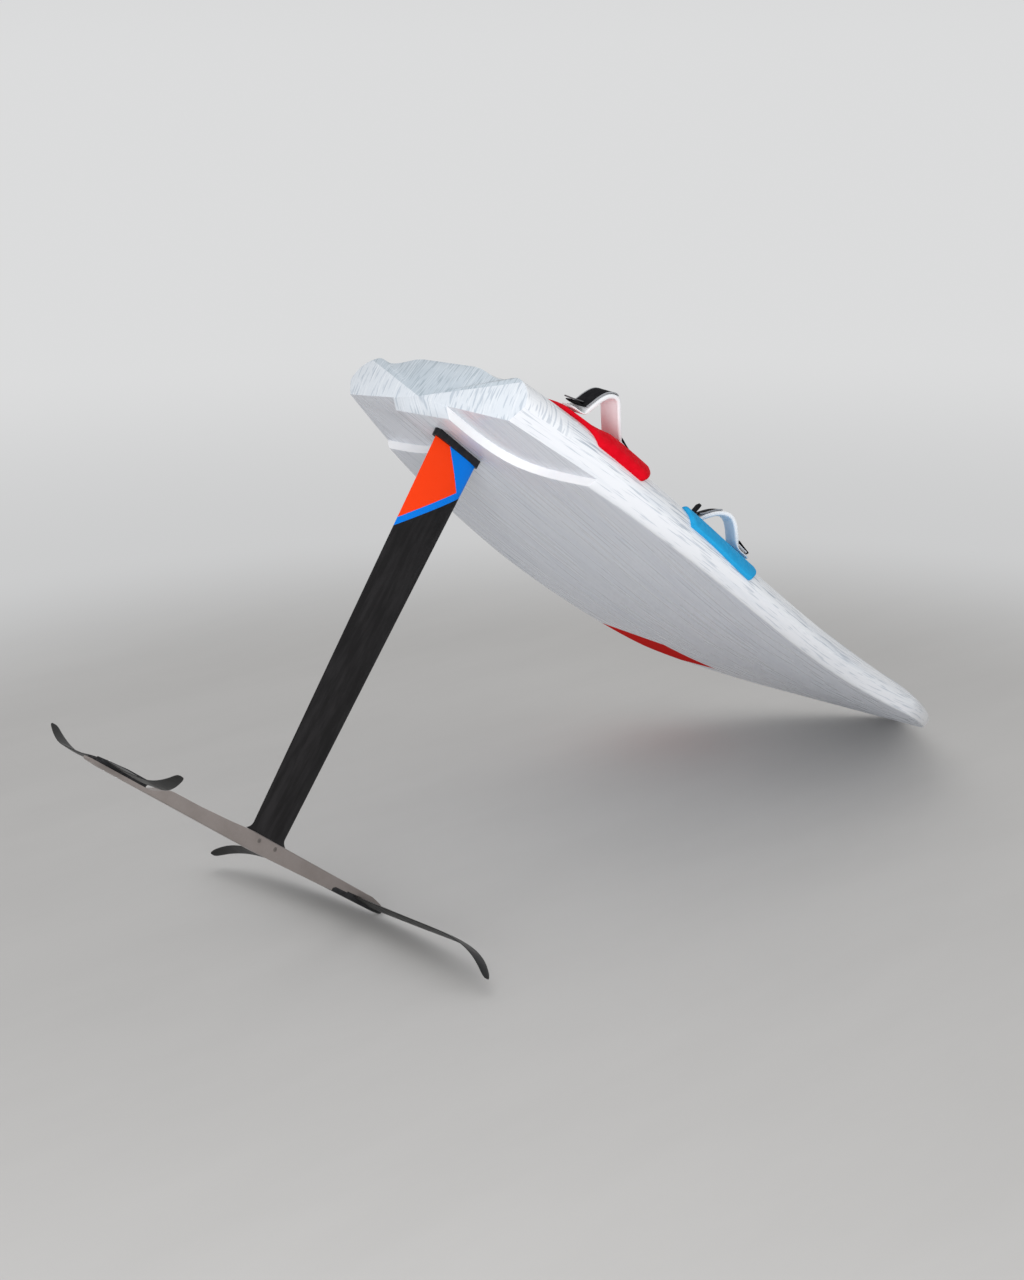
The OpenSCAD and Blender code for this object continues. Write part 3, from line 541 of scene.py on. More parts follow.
def tilted(o, x, z, slope):
    o.matrix_world = (W @ Matrix.Translation((x * MM, 0, z * MM))
                      @ Matrix.Rotation(-math.atan(slope), 4, "Y") @ BACK)
    return o


def hull_mesh():
    ts = sorted(set([0, 0.003, 0.006, 0.009, 0.012, 0.016, 0.020, 0.025, 0.032]
                    + list(np.round(np.linspace(0.04, 0.70, 56), 5))
                    + [0.70 + 0.2985 * math.sin(math.radians(a)) for a in np.linspace(1.5, 90, 56)]))
    verts, uvs, share = [], [], []
    for t in ts:
        x, w = t * L - MB, rail_w(t)
        pts, tags = half_section(t)
        s = run_of(pts)
        n = len(pts)
        # starboard from the middle of the bottom up, then port back down
        for side, order, shift in ((-1, range(n), 0.0), (1, range(n - 2, 0, -1), PORT_SHIFT)):
            for i in order:
                verts.append((x, side * pts[i][0], pts[i][1]))
                uvs.append((x / 1000, (s[i] - s[CHINE]) / 1000 + shift))
                share.append(pts[i][0] / w)
    ring = 2 * n - 2
    faces = grid_faces(len(ts), ring)
    fm = [MI[tags[j if j < n - 1 else ring - 1 - j]] for _ in ts[1:] for j in range(ring)]
    # tail: facets meeting at one point
    tip = len(verts)
    verts.append((X_TAIL - BEAK, 0, 0.206 * BT))
    uvs.append((X_TAIL / 1000, 0))
    share.append(0)
    for j in range(ring):
        k = (j + 1) % ring
        faces.append((j, tip, k))
        y, z = (0.5 * (verts[j][i] + verts[k][i]) for i in (1, 2))
        # the upper facets take the copy with painted shade
        fm.append(MI["tailup_shaded" if z > 0.55 * BT and abs(y) < 252 else "taillow"])
    faces.append(tuple((len(ts) - 1) * ring + j for j in range(ring)))
    fm.append(MI["rail"])
    o = mesh_obj("hull", verts, faces, BOARD_MATS, fm)
    me = o.data
    loops = np.zeros(len(me.loops), np.int32)
    me.loops.foreach_get("vertex_index", loops)
    me.uv_layers.new(name="run").data.foreach_set("uv", np.array(uvs, np.float32)[loops].ravel())
    me.attributes.new("share", "FLOAT", "POINT").data.foreach_set("value", np.array(share, np.float32))
    normals_out(o)
    return o


def build_hull():
    o = hull_mesh()
    # cut-outs under the tail
    for side in (1, -1):
        aft = X_TAIL - 2 * BEAK
        plan = [(aft, -0.19 * HW)] + [cut_wall(s) for s in np.linspace(0, 1, 33)] \
            + [(X_TAIL + CUT_L, -HW - 5), (aft, -HW - 5)]
        cut(o, cutter([(x, y * side) for x, y in plan], -3, CUT_D, "wall", "cutfloor"))
    # foil box, and the mouth for the mast head below it
    cut(o, cutter(rect(95.15, 26.15), 3.9, deck(0, 26) + 59))
    cut(o, cutter(rect(0.5 * C_TOP + 1.3, 11.3), -20, 30))
    # mast track
    x0, x1 = TRACK_X - TRACK_L / 2, TRACK_X + TRACK_L / 2
    z0, z1 = deck(x0, 0), deck(x1, 0)
    cut(o, tilted(cutter(rect(150.2, 17.2), -30.2, 30), TRACK_X, (z0 + z1) / 2, (z1 - z0) / (x1 - x0)))
    # vent plug
    x = 0.66 * L
    plan = [(13.1 * math.cos(a), 13.1 * math.sin(a)) for a in np.linspace(0, 2 * math.pi, 49)[:-1]]
    cut(o, tilted(cutter(plan, -14.1, 20), x, deck(x, 0), (deck(x + 60, 0) - deck(x - 60, 0)) / 120))
    return o


hull = build_hull()
round_edges(hull, 0.0022, 2, 32)
apply_all(hull)
smooth(hull, 26)
own(hull, "board_white", "board_hull")


# ---------------------------------------------------------------- foil sections
EDGE = 0.6                    # half thickness of the trailing edges


def foil_half(s, tk):
    """half thickness at the share s of the chord"""
    return tk * (1.4845 * math.sqrt(s) - 0.63 * s - 1.758 * s * s + 1.4215 * s ** 3 - 0.5 * s ** 4) + EDGE * s


def foil(le, c, tk, n, up=1.0, dn=1.0):
    """Section behind the leading edge le, with chord c; up and dn scale its two sides."""
    xs = [(1 - math.cos(math.pi * i / n)) / 2 for i in range(n + 1)]
    return [(le - c * s, up * foil_half(s, tk)) for s in xs] \
        + [(le - c * s, -dn * foil_half(s, tk)) for s in xs[:0:-1]]


# ---------------------------------------------------------------- dark materials
def dark_mat(name, base, rough, grain=(40, 40, 40)):
    m, nt, b = mat_new(name)
    co = obj_co(nt)
    f = noise(nt, mapped(nt, co, grain), 4, 0.6)
    fine = noise(nt, mapped(nt, co, (700, 700, 700)), 1.0)
    c = mix(nt, ramp01(nt, f, 0.35, 0.7), base, tuple(min(1, v * 1.9) for v in base))
    r = ramp01(nt, f, 0.3, 0.7, rough - 0.06, rough + 0.08)
    put(nt, b, c, r, bump(nt, fine, 0.12, 0.0002), Specular_IOR_Level=0.16)
    return m


def half_plane(nt, x, z, p, q, inside):
    """1 on the side of the line p-q where the point inside lies."""
    nx, nz = -(q[1] - p[1]), q[0] - p[0]
    if (inside[0] - p[0]) * nx + (inside[1] - p[1]) * nz < 0:
        nx, nz = -nx, -nz
    d = mathn(nt, "MULTIPLY_ADD", x, nx, mathn(nt, "MULTIPLY_ADD", z, nz, -(p[0] * nx + p[1] * nz)))
    return over(nt, d, 0.0)


# colour fields on the mast, (x, z) in metres: the orange one lies aft of A-B and above B-C,
# the blue one is what is left above D-E
ORANGE_A, ORANGE_B, ORANGE_C = (-0.021, -0.021), (0.0545, -0.0946), (-0.0706, -0.2323)
BLUE_D, BLUE_E = (0.0656, -0.107), (-0.0677, -0.2513)


def mast_mat():
    m, nt, b = mat_new("mast_skin")
    co = obj_co(nt)
    x, _, z = split(nt, co)
    in_orange = (-0.06, -0.1)
    orange = times(nt, half_plane(nt, x, z, ORANGE_A, ORANGE_B, in_orange),
                   half_plane(nt, x, z, ORANGE_B, ORANGE_C, in_orange))
    upper = half_plane(nt, x, z, BLUE_D, BLUE_E, (0, -0.05))
    f = noise(nt, mapped(nt, co, (60, 60, 9)), 4, 0.65)
    c = mix(nt, ramp01(nt, f, 0.35, 0.7), (0.010, 0.0095, 0.010), (0.019, 0.018, 0.019))
    c = mix(nt, upper, c, (0.0, 0.19, 0.76))
    c = mix(nt, orange, c, (0.93, 0.050, 0.004))
    r = mix_f(nt, upper, ramp01(nt, f, 0.3, 0.7, 0.40, 0.52), 0.30)
    fine = noise(nt, mapped(nt, co, (500, 500, 500)), 1.0)
    put(nt, b, c, r, bump(nt, fine, 0.08, 0.0002), Specular_IOR_Level=0.12)
    return m


# ---------------------------------------------------------------- mast
FORE_X = 0.5 * C_TOP + 2      # leading edge
FOOT_H = 19.0                 # height of the flare at the foot


def mast_ring(z):
    s = min(1, max(0, (-z - FL_T) / (ML - FL_T - FOOT_H)))
    flare = max(0, (-z - ML + FOOT_H) / FOOT_H) ** 2.5
    c = C_TOP + (C_LOW - C_TOP) * s
    return [(x, y, z) for x, y in foil(FORE_X + 13 * flare, c + 26 * flare, M_T + 9 * flare, 34)]


zs = list(-FL_T - (ML - FL_T - FOOT_H) * np.linspace(0, 1, 26)) \
    + [-ML + FOOT_H * (1 - f) for f in np.linspace(0.08, 1, 12)]
zs[0] += 0.4                  # up into the head
mast = loft("mast_blade", [mast_ring(z) for z in zs], [mast_mat()])
smooth(mast, 40)
own(mast, "mast_carbon", "mast")

# ---------------------------------------------------------------- wings
Z_FUS = -ML
X_FN = FUS_L * FUS_A
X_FT = X_FN - FUS_L
Z_SEAT = Z_FUS - 0.77 * FUS_H
Z_BOT = Z_FUS - FUS_H
WING = dark_mat("wing_skin", (0.012, 0.012, 0.012), 0.40, (14, 60, 60))
TIP_A, TIP_L = 0.965, 0.035   # shares of the half span: where the rounding of the tip starts, its length


def wing(name, half_span, le, zf, chord, tk, node):
    """le, zf, chord and tk give leading edge, height, chord and thickness at a share of the half span."""
    ss = [s for s in np.sin(np.linspace(0, math.pi / 2, 46)) if s < TIP_A] \
        + list(1 - TIP_L * np.cos(np.linspace(0, math.pi / 2, 10)))
    rings = []
    for y in [-s * half_span for s in ss[::-1]] + [s * half_span for s in ss[1:]]:
        s = abs(y) / half_span
        c = chord(s)
        q = min(1, max(0, (s - TIP_A) / TIP_L))
        e = math.sqrt(max(0, 1 - q * q))
        k = 0.55 + 0.45 * e
        section = foil(le(s) - (1 - k) * c * 0.45, c * k, tk(s) * (0.35 + 0.65 * e), 26, 1.15, 0.75)
        rings.append([(x, y, zf(s) + z) for x, z in section])
    o = loft(name, rings, [WING])
    smooth(o, 45)
    own(o, "wing_carbon", node)


wing("front_wing_blade", SPAN_F / 2, lambda s: X_FN - 24 - 85 * s ** 2.14,
     lambda s: Z_BOT + 0.51 * FUS_H + 9 * s - (DROOP + 9) * max(0, (s - 0.5) / 0.5) ** 3.8,
     lambda s: C_F * (1 - 0.71 * s ** 3.4), lambda s: 13 * (1 - 0.66 * s), "front_wing")
TAIL_LE = X_FT + 0.112 * FUS_L
wing("tail_wing_blade", SPAN_T / 2, lambda s: TAIL_LE - 42 * s ** 3.2,
     lambda s: Z_SEAT + 8.5 - 6 * sm(0.05, 0.4, s) + 3.5 * s + (RISE + 3) * max(0, (s - 0.62) / 0.38) ** 2,
     lambda s: C_T * (1 - 0.7 * s ** 2.8), lambda s: 8 * (1 - 0.5 * s), "tail_wing")


def fus_half(x):
    """half width of the fuselage in plan"""
    if x > X_FN - 140:
        return FUS_W / 2 * math.sqrt(max(0, 1 - ((x - X_FN + 140) / 140) ** 2)) + 0.6
    xa = X_FT + 0.2 * FUS_L
    return FUS_W / 2 if x > xa else FUS_W * 0.36 + (FUS_W / 2 - FUS_W * 0.36) * (x - X_FT) / (xa - X_FT)


# block that carries the front wing: its lower and upper edge
R0 = X_FN - 0.2 * FUS_L
LOW = [(X_FN - 0.47 * FUS_L, Z_BOT), (R0, Z_BOT + 0.2 * FUS_H), (X_FN - 28, Z_BOT + 0.28 * FUS_H),
       (X_FN - 10, Z_BOT + 0.33 * FUS_H), (X_FN - 2, Z_BOT + 0.42 * FUS_H)]
TOPW = [(R0, Z_BOT + 16), (R0 + 8, Z_BOT + 22.6), (X_FN - 133, Z_BOT + 24), (X_FN - 98, Z_BOT + 26),
        (X_FN - 62, Z_BOT + 27), (X_FN - 21, Z_BOT + 31)]
PROUD = 0.25                  # the block stands this much outside the fuselage
rings = []
for x in [R0, R0 + 1.5, R0 + 4] + list(np.linspace(R0 + 8, X_FN - 8, 26)) + [X_FN - 5, X_FN - 3]:
    z0 = np.interp(x, *zip(*LOW)) - PROUD
    z1 = max(np.interp(x, *zip(*TOPW)), z0 + 1)
    hw = fus_half(x) + PROUD
    rr = min(4, 0.4 * (z1 - z0), 0.6 * hw)
    ring = []
    for cy, cz, a0 in ((-hw + rr, z0 + rr, 180), (hw - rr, z0 + rr, 270)):
        for a in np.linspace(a0, a0 + 90, 6):
            ring.append((x, cy + rr * math.cos(math.radians(a)), cz + rr * math.sin(math.radians(a))))
    ring += [(x, hw, z1), (x, 0, z1 + 0.2), (x, -hw, z1)]
    rings.append(ring)
block = loft("front_wing_mount", rings, [dark_mat("mount_skin", (0.014, 0.014, 0.015), 0.5, (50, 50, 50))])
smooth(block, 35)
own(block, "wing_carbon")
# plate that carries the tail wing, round at its fore end
FOOT_R = 10.2
FOOT_X = X_FT + 0.165 * FUS_L
rings = []
for x in list(np.linspace(X_FT + 30, FOOT_X, 12)) + [FOOT_X + FOOT_R * math.sin(a)
                                                     for a in np.linspace(0.12, 1.5, 10)]:
    hw = FOOT_R * math.sqrt(max(0.004, 1 - (max(0, x - FOOT_X) / FOOT_R) ** 2))
    zt = Z_SEAT + float(np.interp(x - X_FT, [0, 30, 100], [8, 11, 16]))
    half = [(hw, Z_SEAT + 5.2), (hw, zt - 1.5), (max(hw - 1.5, 0.3), zt)]
    rings.append([(x, -y, z) for y, z in half] + [(x, y, z) for y, z in half[::-1]])
foot = loft("tail_wing_mount", rings, [dark_mat("foot_skin", (0.014, 0.014, 0.015), 0.5)])
round_edges(foot, 0.0012, 3, 30)
apply_all(foot)
smooth(foot, 35)
own(foot, "wing_carbon")


# ---------------------------------------------------------------- deck pads
# by place: how far a pad reaches aft and fore of its strap, the share of the half width where it
# starts, how much it is swept
PAD = {False: (134, 116, 0.2, 0.0), True: (221, 40, 0.47, 0.6)}
CORNER = 34


def pad_plan(front):
    """Outline of a starboard pad seen from above."""
    sx = SX[front]
    aft, fore, share, k = PAD[front]
    x0, x1, y = sx - aft, sx + fore, -share * HW
    lean = k * (rail_w(at_t(sx)) + y)
    a, b, c = x0 + lean, x1 + lean, CORNER
    qs = np.linspace(0, 1, 9)
    plan = bend((a - k * c, y - c), (a, y), (a + c, y), qs) + bend((b - c, y), (b, y), (b - k * c, y - c), qs)
    for q in np.linspace(x1 - x0, 0, 85):
        if front:
            back = 34 * (max(0, q - 205) / 56) ** 2 - 2
        else:
            back = 9 + 52 * (1 - min(1, q / 76) ** 4) + 48 * (max(0, q - 203) / 47) ** 2
        plan.append((x0 + q, -(rail_w(at_t(x0 + q)) - back)))
    if front:
        plan.append((x0 + 0.02, -0.87 * rail_w(at_t(x0))))    # straight aft end
    return plan


def pad_low(front, x):
    """angle on the skin where a pad ends on the side of the rail"""
    t = at_t(x)
    g = 24 - 16 * sm(0, 1, (x - SX[front] + 221 - 14) / 215) if front else 34
    return math.degrees(math.asin(min(1, g / (thick(t) - apex(t)))))


def edge_dist(P, Q):
    """distance from points P to the closed polygon Q"""
    d = np.full(len(P), 1e9)
    for a, b in zip(Q, np.roll(Q, -1, 0)):
        ab = b - a
        t = np.clip(((P - a) @ ab) / max(ab @ ab, 1e-9), 0, 1)
        d = np.minimum(d, np.hypot(*(P - a - t[:, None] * ab).T))
    return d


def f_of(t, y):
    """angle on the upper skin at the distance y from the middle"""
    u = min(1.0, abs(y) / rail_w(t))
    return math.degrees(math.acos(min(1.0, u ** (boxy(t) / 2))))


def pad_mat(name, base, dark):
    m, nt, b = mat_new(name)
    co = obj_co(nt)
    speck = noise(nt, mapped(nt, co, (950, 950, 950)), 2, 0.7)
    blot = noise(nt, mapped(nt, co, (55, 55, 55)), 3, 0.6)
    c = mix(nt, ramp01(nt, blot, 0.35, 0.7, 0, 0.55), base, dark)
    c = mix(nt, ramp01(nt, speck, 0.55, 0.75, 0, 0.45), c, dark)
    h = mathn(nt, "MULTIPLY_ADD", cells(nt, mapped(nt, co, (420, 420, 420))), 0.6, speck)
    put(nt, b, c, ramp01(nt, blot, 0.3, 0.7, 0.62, 0.78), bump(nt, h, 0.35, 0.0006), Specular_IOR_Level=0.08)
    return m


PADM = {False: pad_mat("foam_red", (0.70, 0.0008, 0.012), (0.56, 0.0004, 0.007)),
        True: pad_mat("foam_blue", (0.022, 0.37, 0.72), (0.014, 0.30, 0.62))}


ROWS, COLS = 120, 64          # points of a pad along the board and across it
PAD_END = 3.6                 # degrees on the skin: a pad goes no lower on the rail
EDGE_R = 7.0                  # rounding of a pad's edge
GROOVE = 15.0                 # distance between grooves
RIM_UP = 9.0                  # the rear pad's rim outside the strap stands this much proud


def side_name(front, port):
    return ("front_" if front else "rear_") + ("port" if port else "stb")


def pad_rows(front):
    """Rows across the pad: x, share of the length, angles on the skin, run along it from the outer edge."""
    Q = np.array(pad_plan(front))
    xa, xb = Q[:, 0].min() + 0.05, Q[:, 0].max() - 0.05
    even, ends = np.linspace(0, 1, ROWS), (1 - np.cos(np.linspace(0, math.pi, ROWS))) / 2
    for x in xa + (xb - xa) * ends * 0.35 + (xb - xa) * even * 0.65:
        ys = [y0 + (y1 - y0) * (x - x0) / (x1 - x0) for (x0, y0), (x1, y1) in zip(Q, np.roll(Q, -1, 0))
              if (x0 - x) * (x1 - x) <= 0 and x0 != x1]
        t = at_t(x)
        f0 = PAD_END if min(ys) <= -rail_w(t) + 0.05 else f_of(t, min(ys))
        ff = np.linspace(max(f0, pad_low(front, x) if front else PAD_END), f_of(t, max(ys)), 200)
        s = run_of([shell(t, f) for f in ff])
        q = np.linspace(0, 1, COLS)
        run = (0.5 * q + 0.5 * (1 - np.cos(math.pi * q)) / 2) * s[-1]
        yield x, t, np.interp(run, s, ff), run


def build_pad(front, port):
    xs, T, F, run = (np.array(v) for v in zip(*pad_rows(front)))
    # the pad laid out flat, straightened about its inner edge
    inner_y = np.array([-shell(t, f[-1])[0] for t, f in zip(T, F)])
    X = np.repeat(xs[:, None], COLS, 1)
    v = run - run[:, -1:] + inner_y[:, None]
    flat = np.stack([X, v], -1)
    edge = np.concatenate([flat[:, 0], flat[-1, 1:], flat[::-1, -1][1:], flat[0, ::-1][1:-1]])
    d = edge_dist(flat.reshape(-1, 2), edge).reshape(ROWS, COLS)
    prof = np.sqrt(np.clip(1 - (1 - np.clip(d / EDGE_R, 0, 1)) ** 2, 0, 1))
    # a low crown, and shallow grooves that stop short of the edge and of the strap
    u = X - SX[front]
    strap_y = STRAP_OUT[front] * rail_w(at_t(SX[front]))
    ang = math.radians(STRAP_TURN[front])
    g = (u * math.cos(ang) - v * math.sin(ang)) / GROOVE
    groove = np.exp(-(((g - np.round(g)) * GROOVE) / 1.3) ** 2) * np.clip((d - 14) / 5, 0, 1) \
        * np.clip((np.hypot(u * 0.9, v + strap_y) - 58) / 12, 0, 1)
    H = (PAD_T - 1.1) * prof + 1.0 * np.clip(d / 60, 0, 1) - 1.5 * groove
    if not front:
        q = np.clip((-v - strap_y - 38) / 26, 0, 1)
        H += RIM_UP * q * q * (3 - 2 * q) * np.clip(d / 16, 0, 1) ** 0.6 * np.clip((u + 70) / 50, 0, 1)
    verts = []
    for lift in (0.35 + np.maximum(0.0, H), np.full(H.shape, 0.12)):
        for x, t, row, up in zip(xs, T, F, lift):
            for f, g in zip(row, up):
                y, z = shell(t, f, g)
                verts.append((x, y if port else -y, z))
    base = ROWS * COLS
    faces = grid_faces(ROWS, COLS, False)
    faces += [tuple(base + k for k in f[::-1]) for f in faces]
    rim = [i * COLS for i in range(ROWS)] + [base - COLS + j for j in range(1, COLS)] \
        + [i * COLS + COLS - 1 for i in range(ROWS - 2, -1, -1)] + list(range(COLS - 2, 0, -1))
    faces += [(a, b, base + b, base + a) for a, b in zip(rim, rim[1:] + rim[:1])]
    key = side_name(front, port)
    o = piece("deck_pad_" + key, verts, faces, PADM[front], 50, "pad_blue" if front else "pad_red", "pad_" + key)


for fr in (False, True):
    for pt in (False, True):
        build_pad(fr, pt)


# ---------------------------------------------------------------- footstraps
def strap_frame(front):
    """Millimetres of a starboard strap's own frame to the board's: along, across, up from the pad."""
    x = SX[front]
    y = -STRAP_OUT[front] * rail_w(at_t(x))
    sy = (deck(x, y + 28) - deck(x, y - 28)) / 56
    sx = (deck(x + 60, y) - deck(x - 60, y)) / 120
    return Matrix.Translation((x, y, deck(x, y) + PAD_T)) @ Matrix.Rotation(-math.atan(sx), 4, "Y") \
        @ Matrix.Rotation(math.atan(sy), 4, "X") @ Matrix.Rotation(math.radians(-STRAP_TURN[front]), 4, "Z")


# middle lines of the bands, in shares of the half span and of the rise
REAR_LINE = [(-0.98, 0.02), (-0.9, 0.21), (-0.79, 0.45), (-0.68, 0.66), (-0.54, 0.84), (-0.4, 0.94),
             (-0.18, 1.01), (0.01, 0.95), (0.22, 0.74), (0.47, 0.51), (0.76, 0.25), (1, 0.03)]
FRONT_LINE = [(-1.02, 0.02), (-0.9, 0.235), (-0.71, 0.51), (-0.45, 0.81), (-0.17, 0.975), (0.1, 1.02),
              (0.38, 0.85), (0.69, 0.48), (0.98, 0.06)]
FOOT_T = 5.4                  # thickness of a strap's feet


def loop_size(front):
    return S_SPAN / 2 * (0.84 if front else 1) + S_T / 2, S_RISE * (0.67 if front else 1) + S_T / 2


def strap_path(front):
    """Middle line of the band, from the aft foot to the fore foot: (u, n, half thickness)."""
    a, h = loop_size(front)
    m, fo = FOOT_T / 2, S_SPAN / 2 + S_T + 26
    P = [(-fo, LIFT + m), (-a - 9, LIFT + m)] \
        + [(a * u, LIFT + m + 1.5 + (h - m - 1.5) * v) for u, v in (FRONT_LINE if front else REAR_LINE)] \
        + [(a + 9, LIFT + m), (fo, LIFT + m)]
    P = np.array(P)
    for _ in range(4):
        Q = [P[0]]
        for i in range(len(P) - 1):
            Q += [0.75 * P[i] + 0.25 * P[i + 1], 0.25 * P[i] + 0.75 * P[i + 1]]
        P = np.array(Q + [P[-1]])
    s = run_of(P)
    q = np.linspace(0, s[-1], 150)
    P = np.c_[np.interp(q, s, P[:, 0]), np.interp(q, s, P[:, 1])]
    for _ in range(6):
        P[1:-1] = 0.25 * P[:-2] + 0.5 * P[1:-1] + 0.25 * P[2:]
    t = [FOOT_T / 2 - 0.15 + (S_T - FOOT_T) / 2 * sm(2, 22, v - LIFT) for v in P[:, 1]]
    return np.c_[P, t]


def path_of(front):
    path = strap_path(front)
    tan = np.gradient(path[:, :2], axis=0)
    tan /= np.linalg.norm(tan, axis=1)[:, None]
    return path, np.c_[-tan[:, 1], tan[:, 0]]


def strap_mat():
    m, nt, b = mat_new("strap_cloth")
    co = obj_co(nt)
    wv = noise(nt, mapped(nt, co, (1100, 1100, 1100)), 2, 0.6)
    soil = noise(nt, mapped(nt, co, (30, 30, 30)), 3, 0.6)
    c = mix(nt, ramp01(nt, soil, 0.4, 0.75, 0, 0.4), (0.83, 0.845, 0.87), (0.70, 0.72, 0.75))
    put(nt, b, c, ramp01(nt, soil, 0.3, 0.7, 0.48, 0.62), bump(nt, wv, 0.25, 0.0004),
        Sheen_Weight=0.25, Sheen_Roughness=0.4)
    return m


def velcro_mat():
    m, nt, b = mat_new("cover_cloth")
    co = obj_co(nt)
    loops = cells(nt, mapped(nt, co, (700, 700, 700)))
    soil = noise(nt, mapped(nt, co, (60, 60, 60)), 3, 0.6)
    c = mix(nt, ramp01(nt, soil, 0.4, 0.75), (0.006, 0.006, 0.008), (0.014, 0.014, 0.016))
    put(nt, b, c, 0.8, bump(nt, loops, 0.5, 0.0006), Specular_IOR_Level=0.08)
    return m


def plain_mat(name, base, rough, bumpy=0.1, metal=0.0, scale=300):
    m, nt, b = mat_new(name)
    co = obj_co(nt)
    f = noise(nt, mapped(nt, co, (scale,) * 3), 3, 0.6)
    g = noise(nt, mapped(nt, co, (scale * 0.08,) * 3), 3, 0.6)
    c = mix(nt, ramp01(nt, g, 0.35, 0.7, 0, 0.5), base, tuple(v * 0.78 for v in base))
    put(nt, b, c, ramp01(nt, g, 0.3, 0.7, rough - 0.05, rough + 0.07), bump(nt, f, bumpy, 0.0003),
        Metallic=metal)
    return m


STRAP, VELCRO = strap_mat(), velcro_mat()
BIND = plain_mat("binding_cloth", (0.30, 0.31, 0.33), 0.6, 0.3)
THREAD = plain_mat("thread", (0.55, 0.57, 0.60), 0.6, 0.2)
TABM = plain_mat("pull_tab", (0.10, 0.10, 0.108), 0.55, 0.3)


CHANNEL = 0.80                # share of the half width where the sewn channels run
COVER_IN = 6                  # the cover is this much narrower than the band on each side


def pill(a, p):
    """cosine bent towards a flat-sided shape"""
    return math.copysign(abs(a) ** p, a)


def band_mesh(idx, half_w, off, thick_of, crown=0.0, n=40):
    """Band along part of the path, off above it, with a soft flat section; crown adds sewn channels."""
    verts = []
    for i in idx:
        (u, z, _), (nu, nz) = PATH[i], NRM[i]
        hw, o, th = half_w(i), off(i), thick_of(i)
        for k in range(n):
            a = 2 * math.pi * k / n
            y = hw * pill(math.cos(a), 2 / 9.0)
            e = abs(y) / hw
            t = th * pill(math.sin(a), 2 / 2.6)
            if crown:
                t *= 1 - 0.22 * math.exp(-((e - CHANNEL) / 0.035) ** 2) + crown * max(0, 1 - (e / CHANNEL) ** 2)
            verts.append((u + nu * (o + t), y, z + nz * (o + t)))
    return verts, tube_faces(len(idx), n)


def in_frame(verts, M, port):
    pts = [M @ Vector(v) for v in verts]
    return [(p.x, -p.y if port else p.y, p.z) for p in pts]


def append_tube(verts, faces, rings):
    base = len(verts)
    verts += [p for r in rings for p in r]
    faces += [tuple(base + q for q in f) for f in tube_faces(len(rings), len(rings[0]))]


def round_ring(p, nrm, y, r_up, r_side, n):
    """Small ring about the point p of the path, at the distance y across."""
    out = []
    for k in range(n):
        a = 2 * math.pi * k / n
        up = r_up * math.sin(a)
        out.append((p[0] + nrm[0] * up, y + r_side * math.cos(a), p[1] + nrm[1] * up))
    return out


def tab_mesh(u0, z0, ang, length, half_w):
    """Flat tab from (u0, z0), rising by ang degrees, with round ends and a slight bend."""
    rings, m, n = [], 14, 20
    ca, sa = math.cos(math.radians(ang)), math.sin(math.radians(ang))
    for i in range(m):
        q = i / (m - 1)
        k = math.sqrt(max(0.02, 1 - max(0, (q - 0.8) / 0.2) ** 2)) \
            * math.sqrt(max(0.05, 1 - max(0, (0.12 - q) / 0.12) ** 2))
        bow = 3.5 * q * q
        ring = []
        for j in range(n):
            a = 2 * math.pi * j / n
            y = half_w * k * pill(math.cos(a), 0.4)
            z = 1.5 * pill(math.sin(a), 0.6)
            du = length * q * ca - (z + bow) * sa
            dz = length * q * sa + (z + (bow if ang < 90 else -bow)) * ca
            ring.append((u0 + du, y, z0 + dz))
        rings.append(ring)
    return [p for r in rings for p in r], tube_faces(m, n)


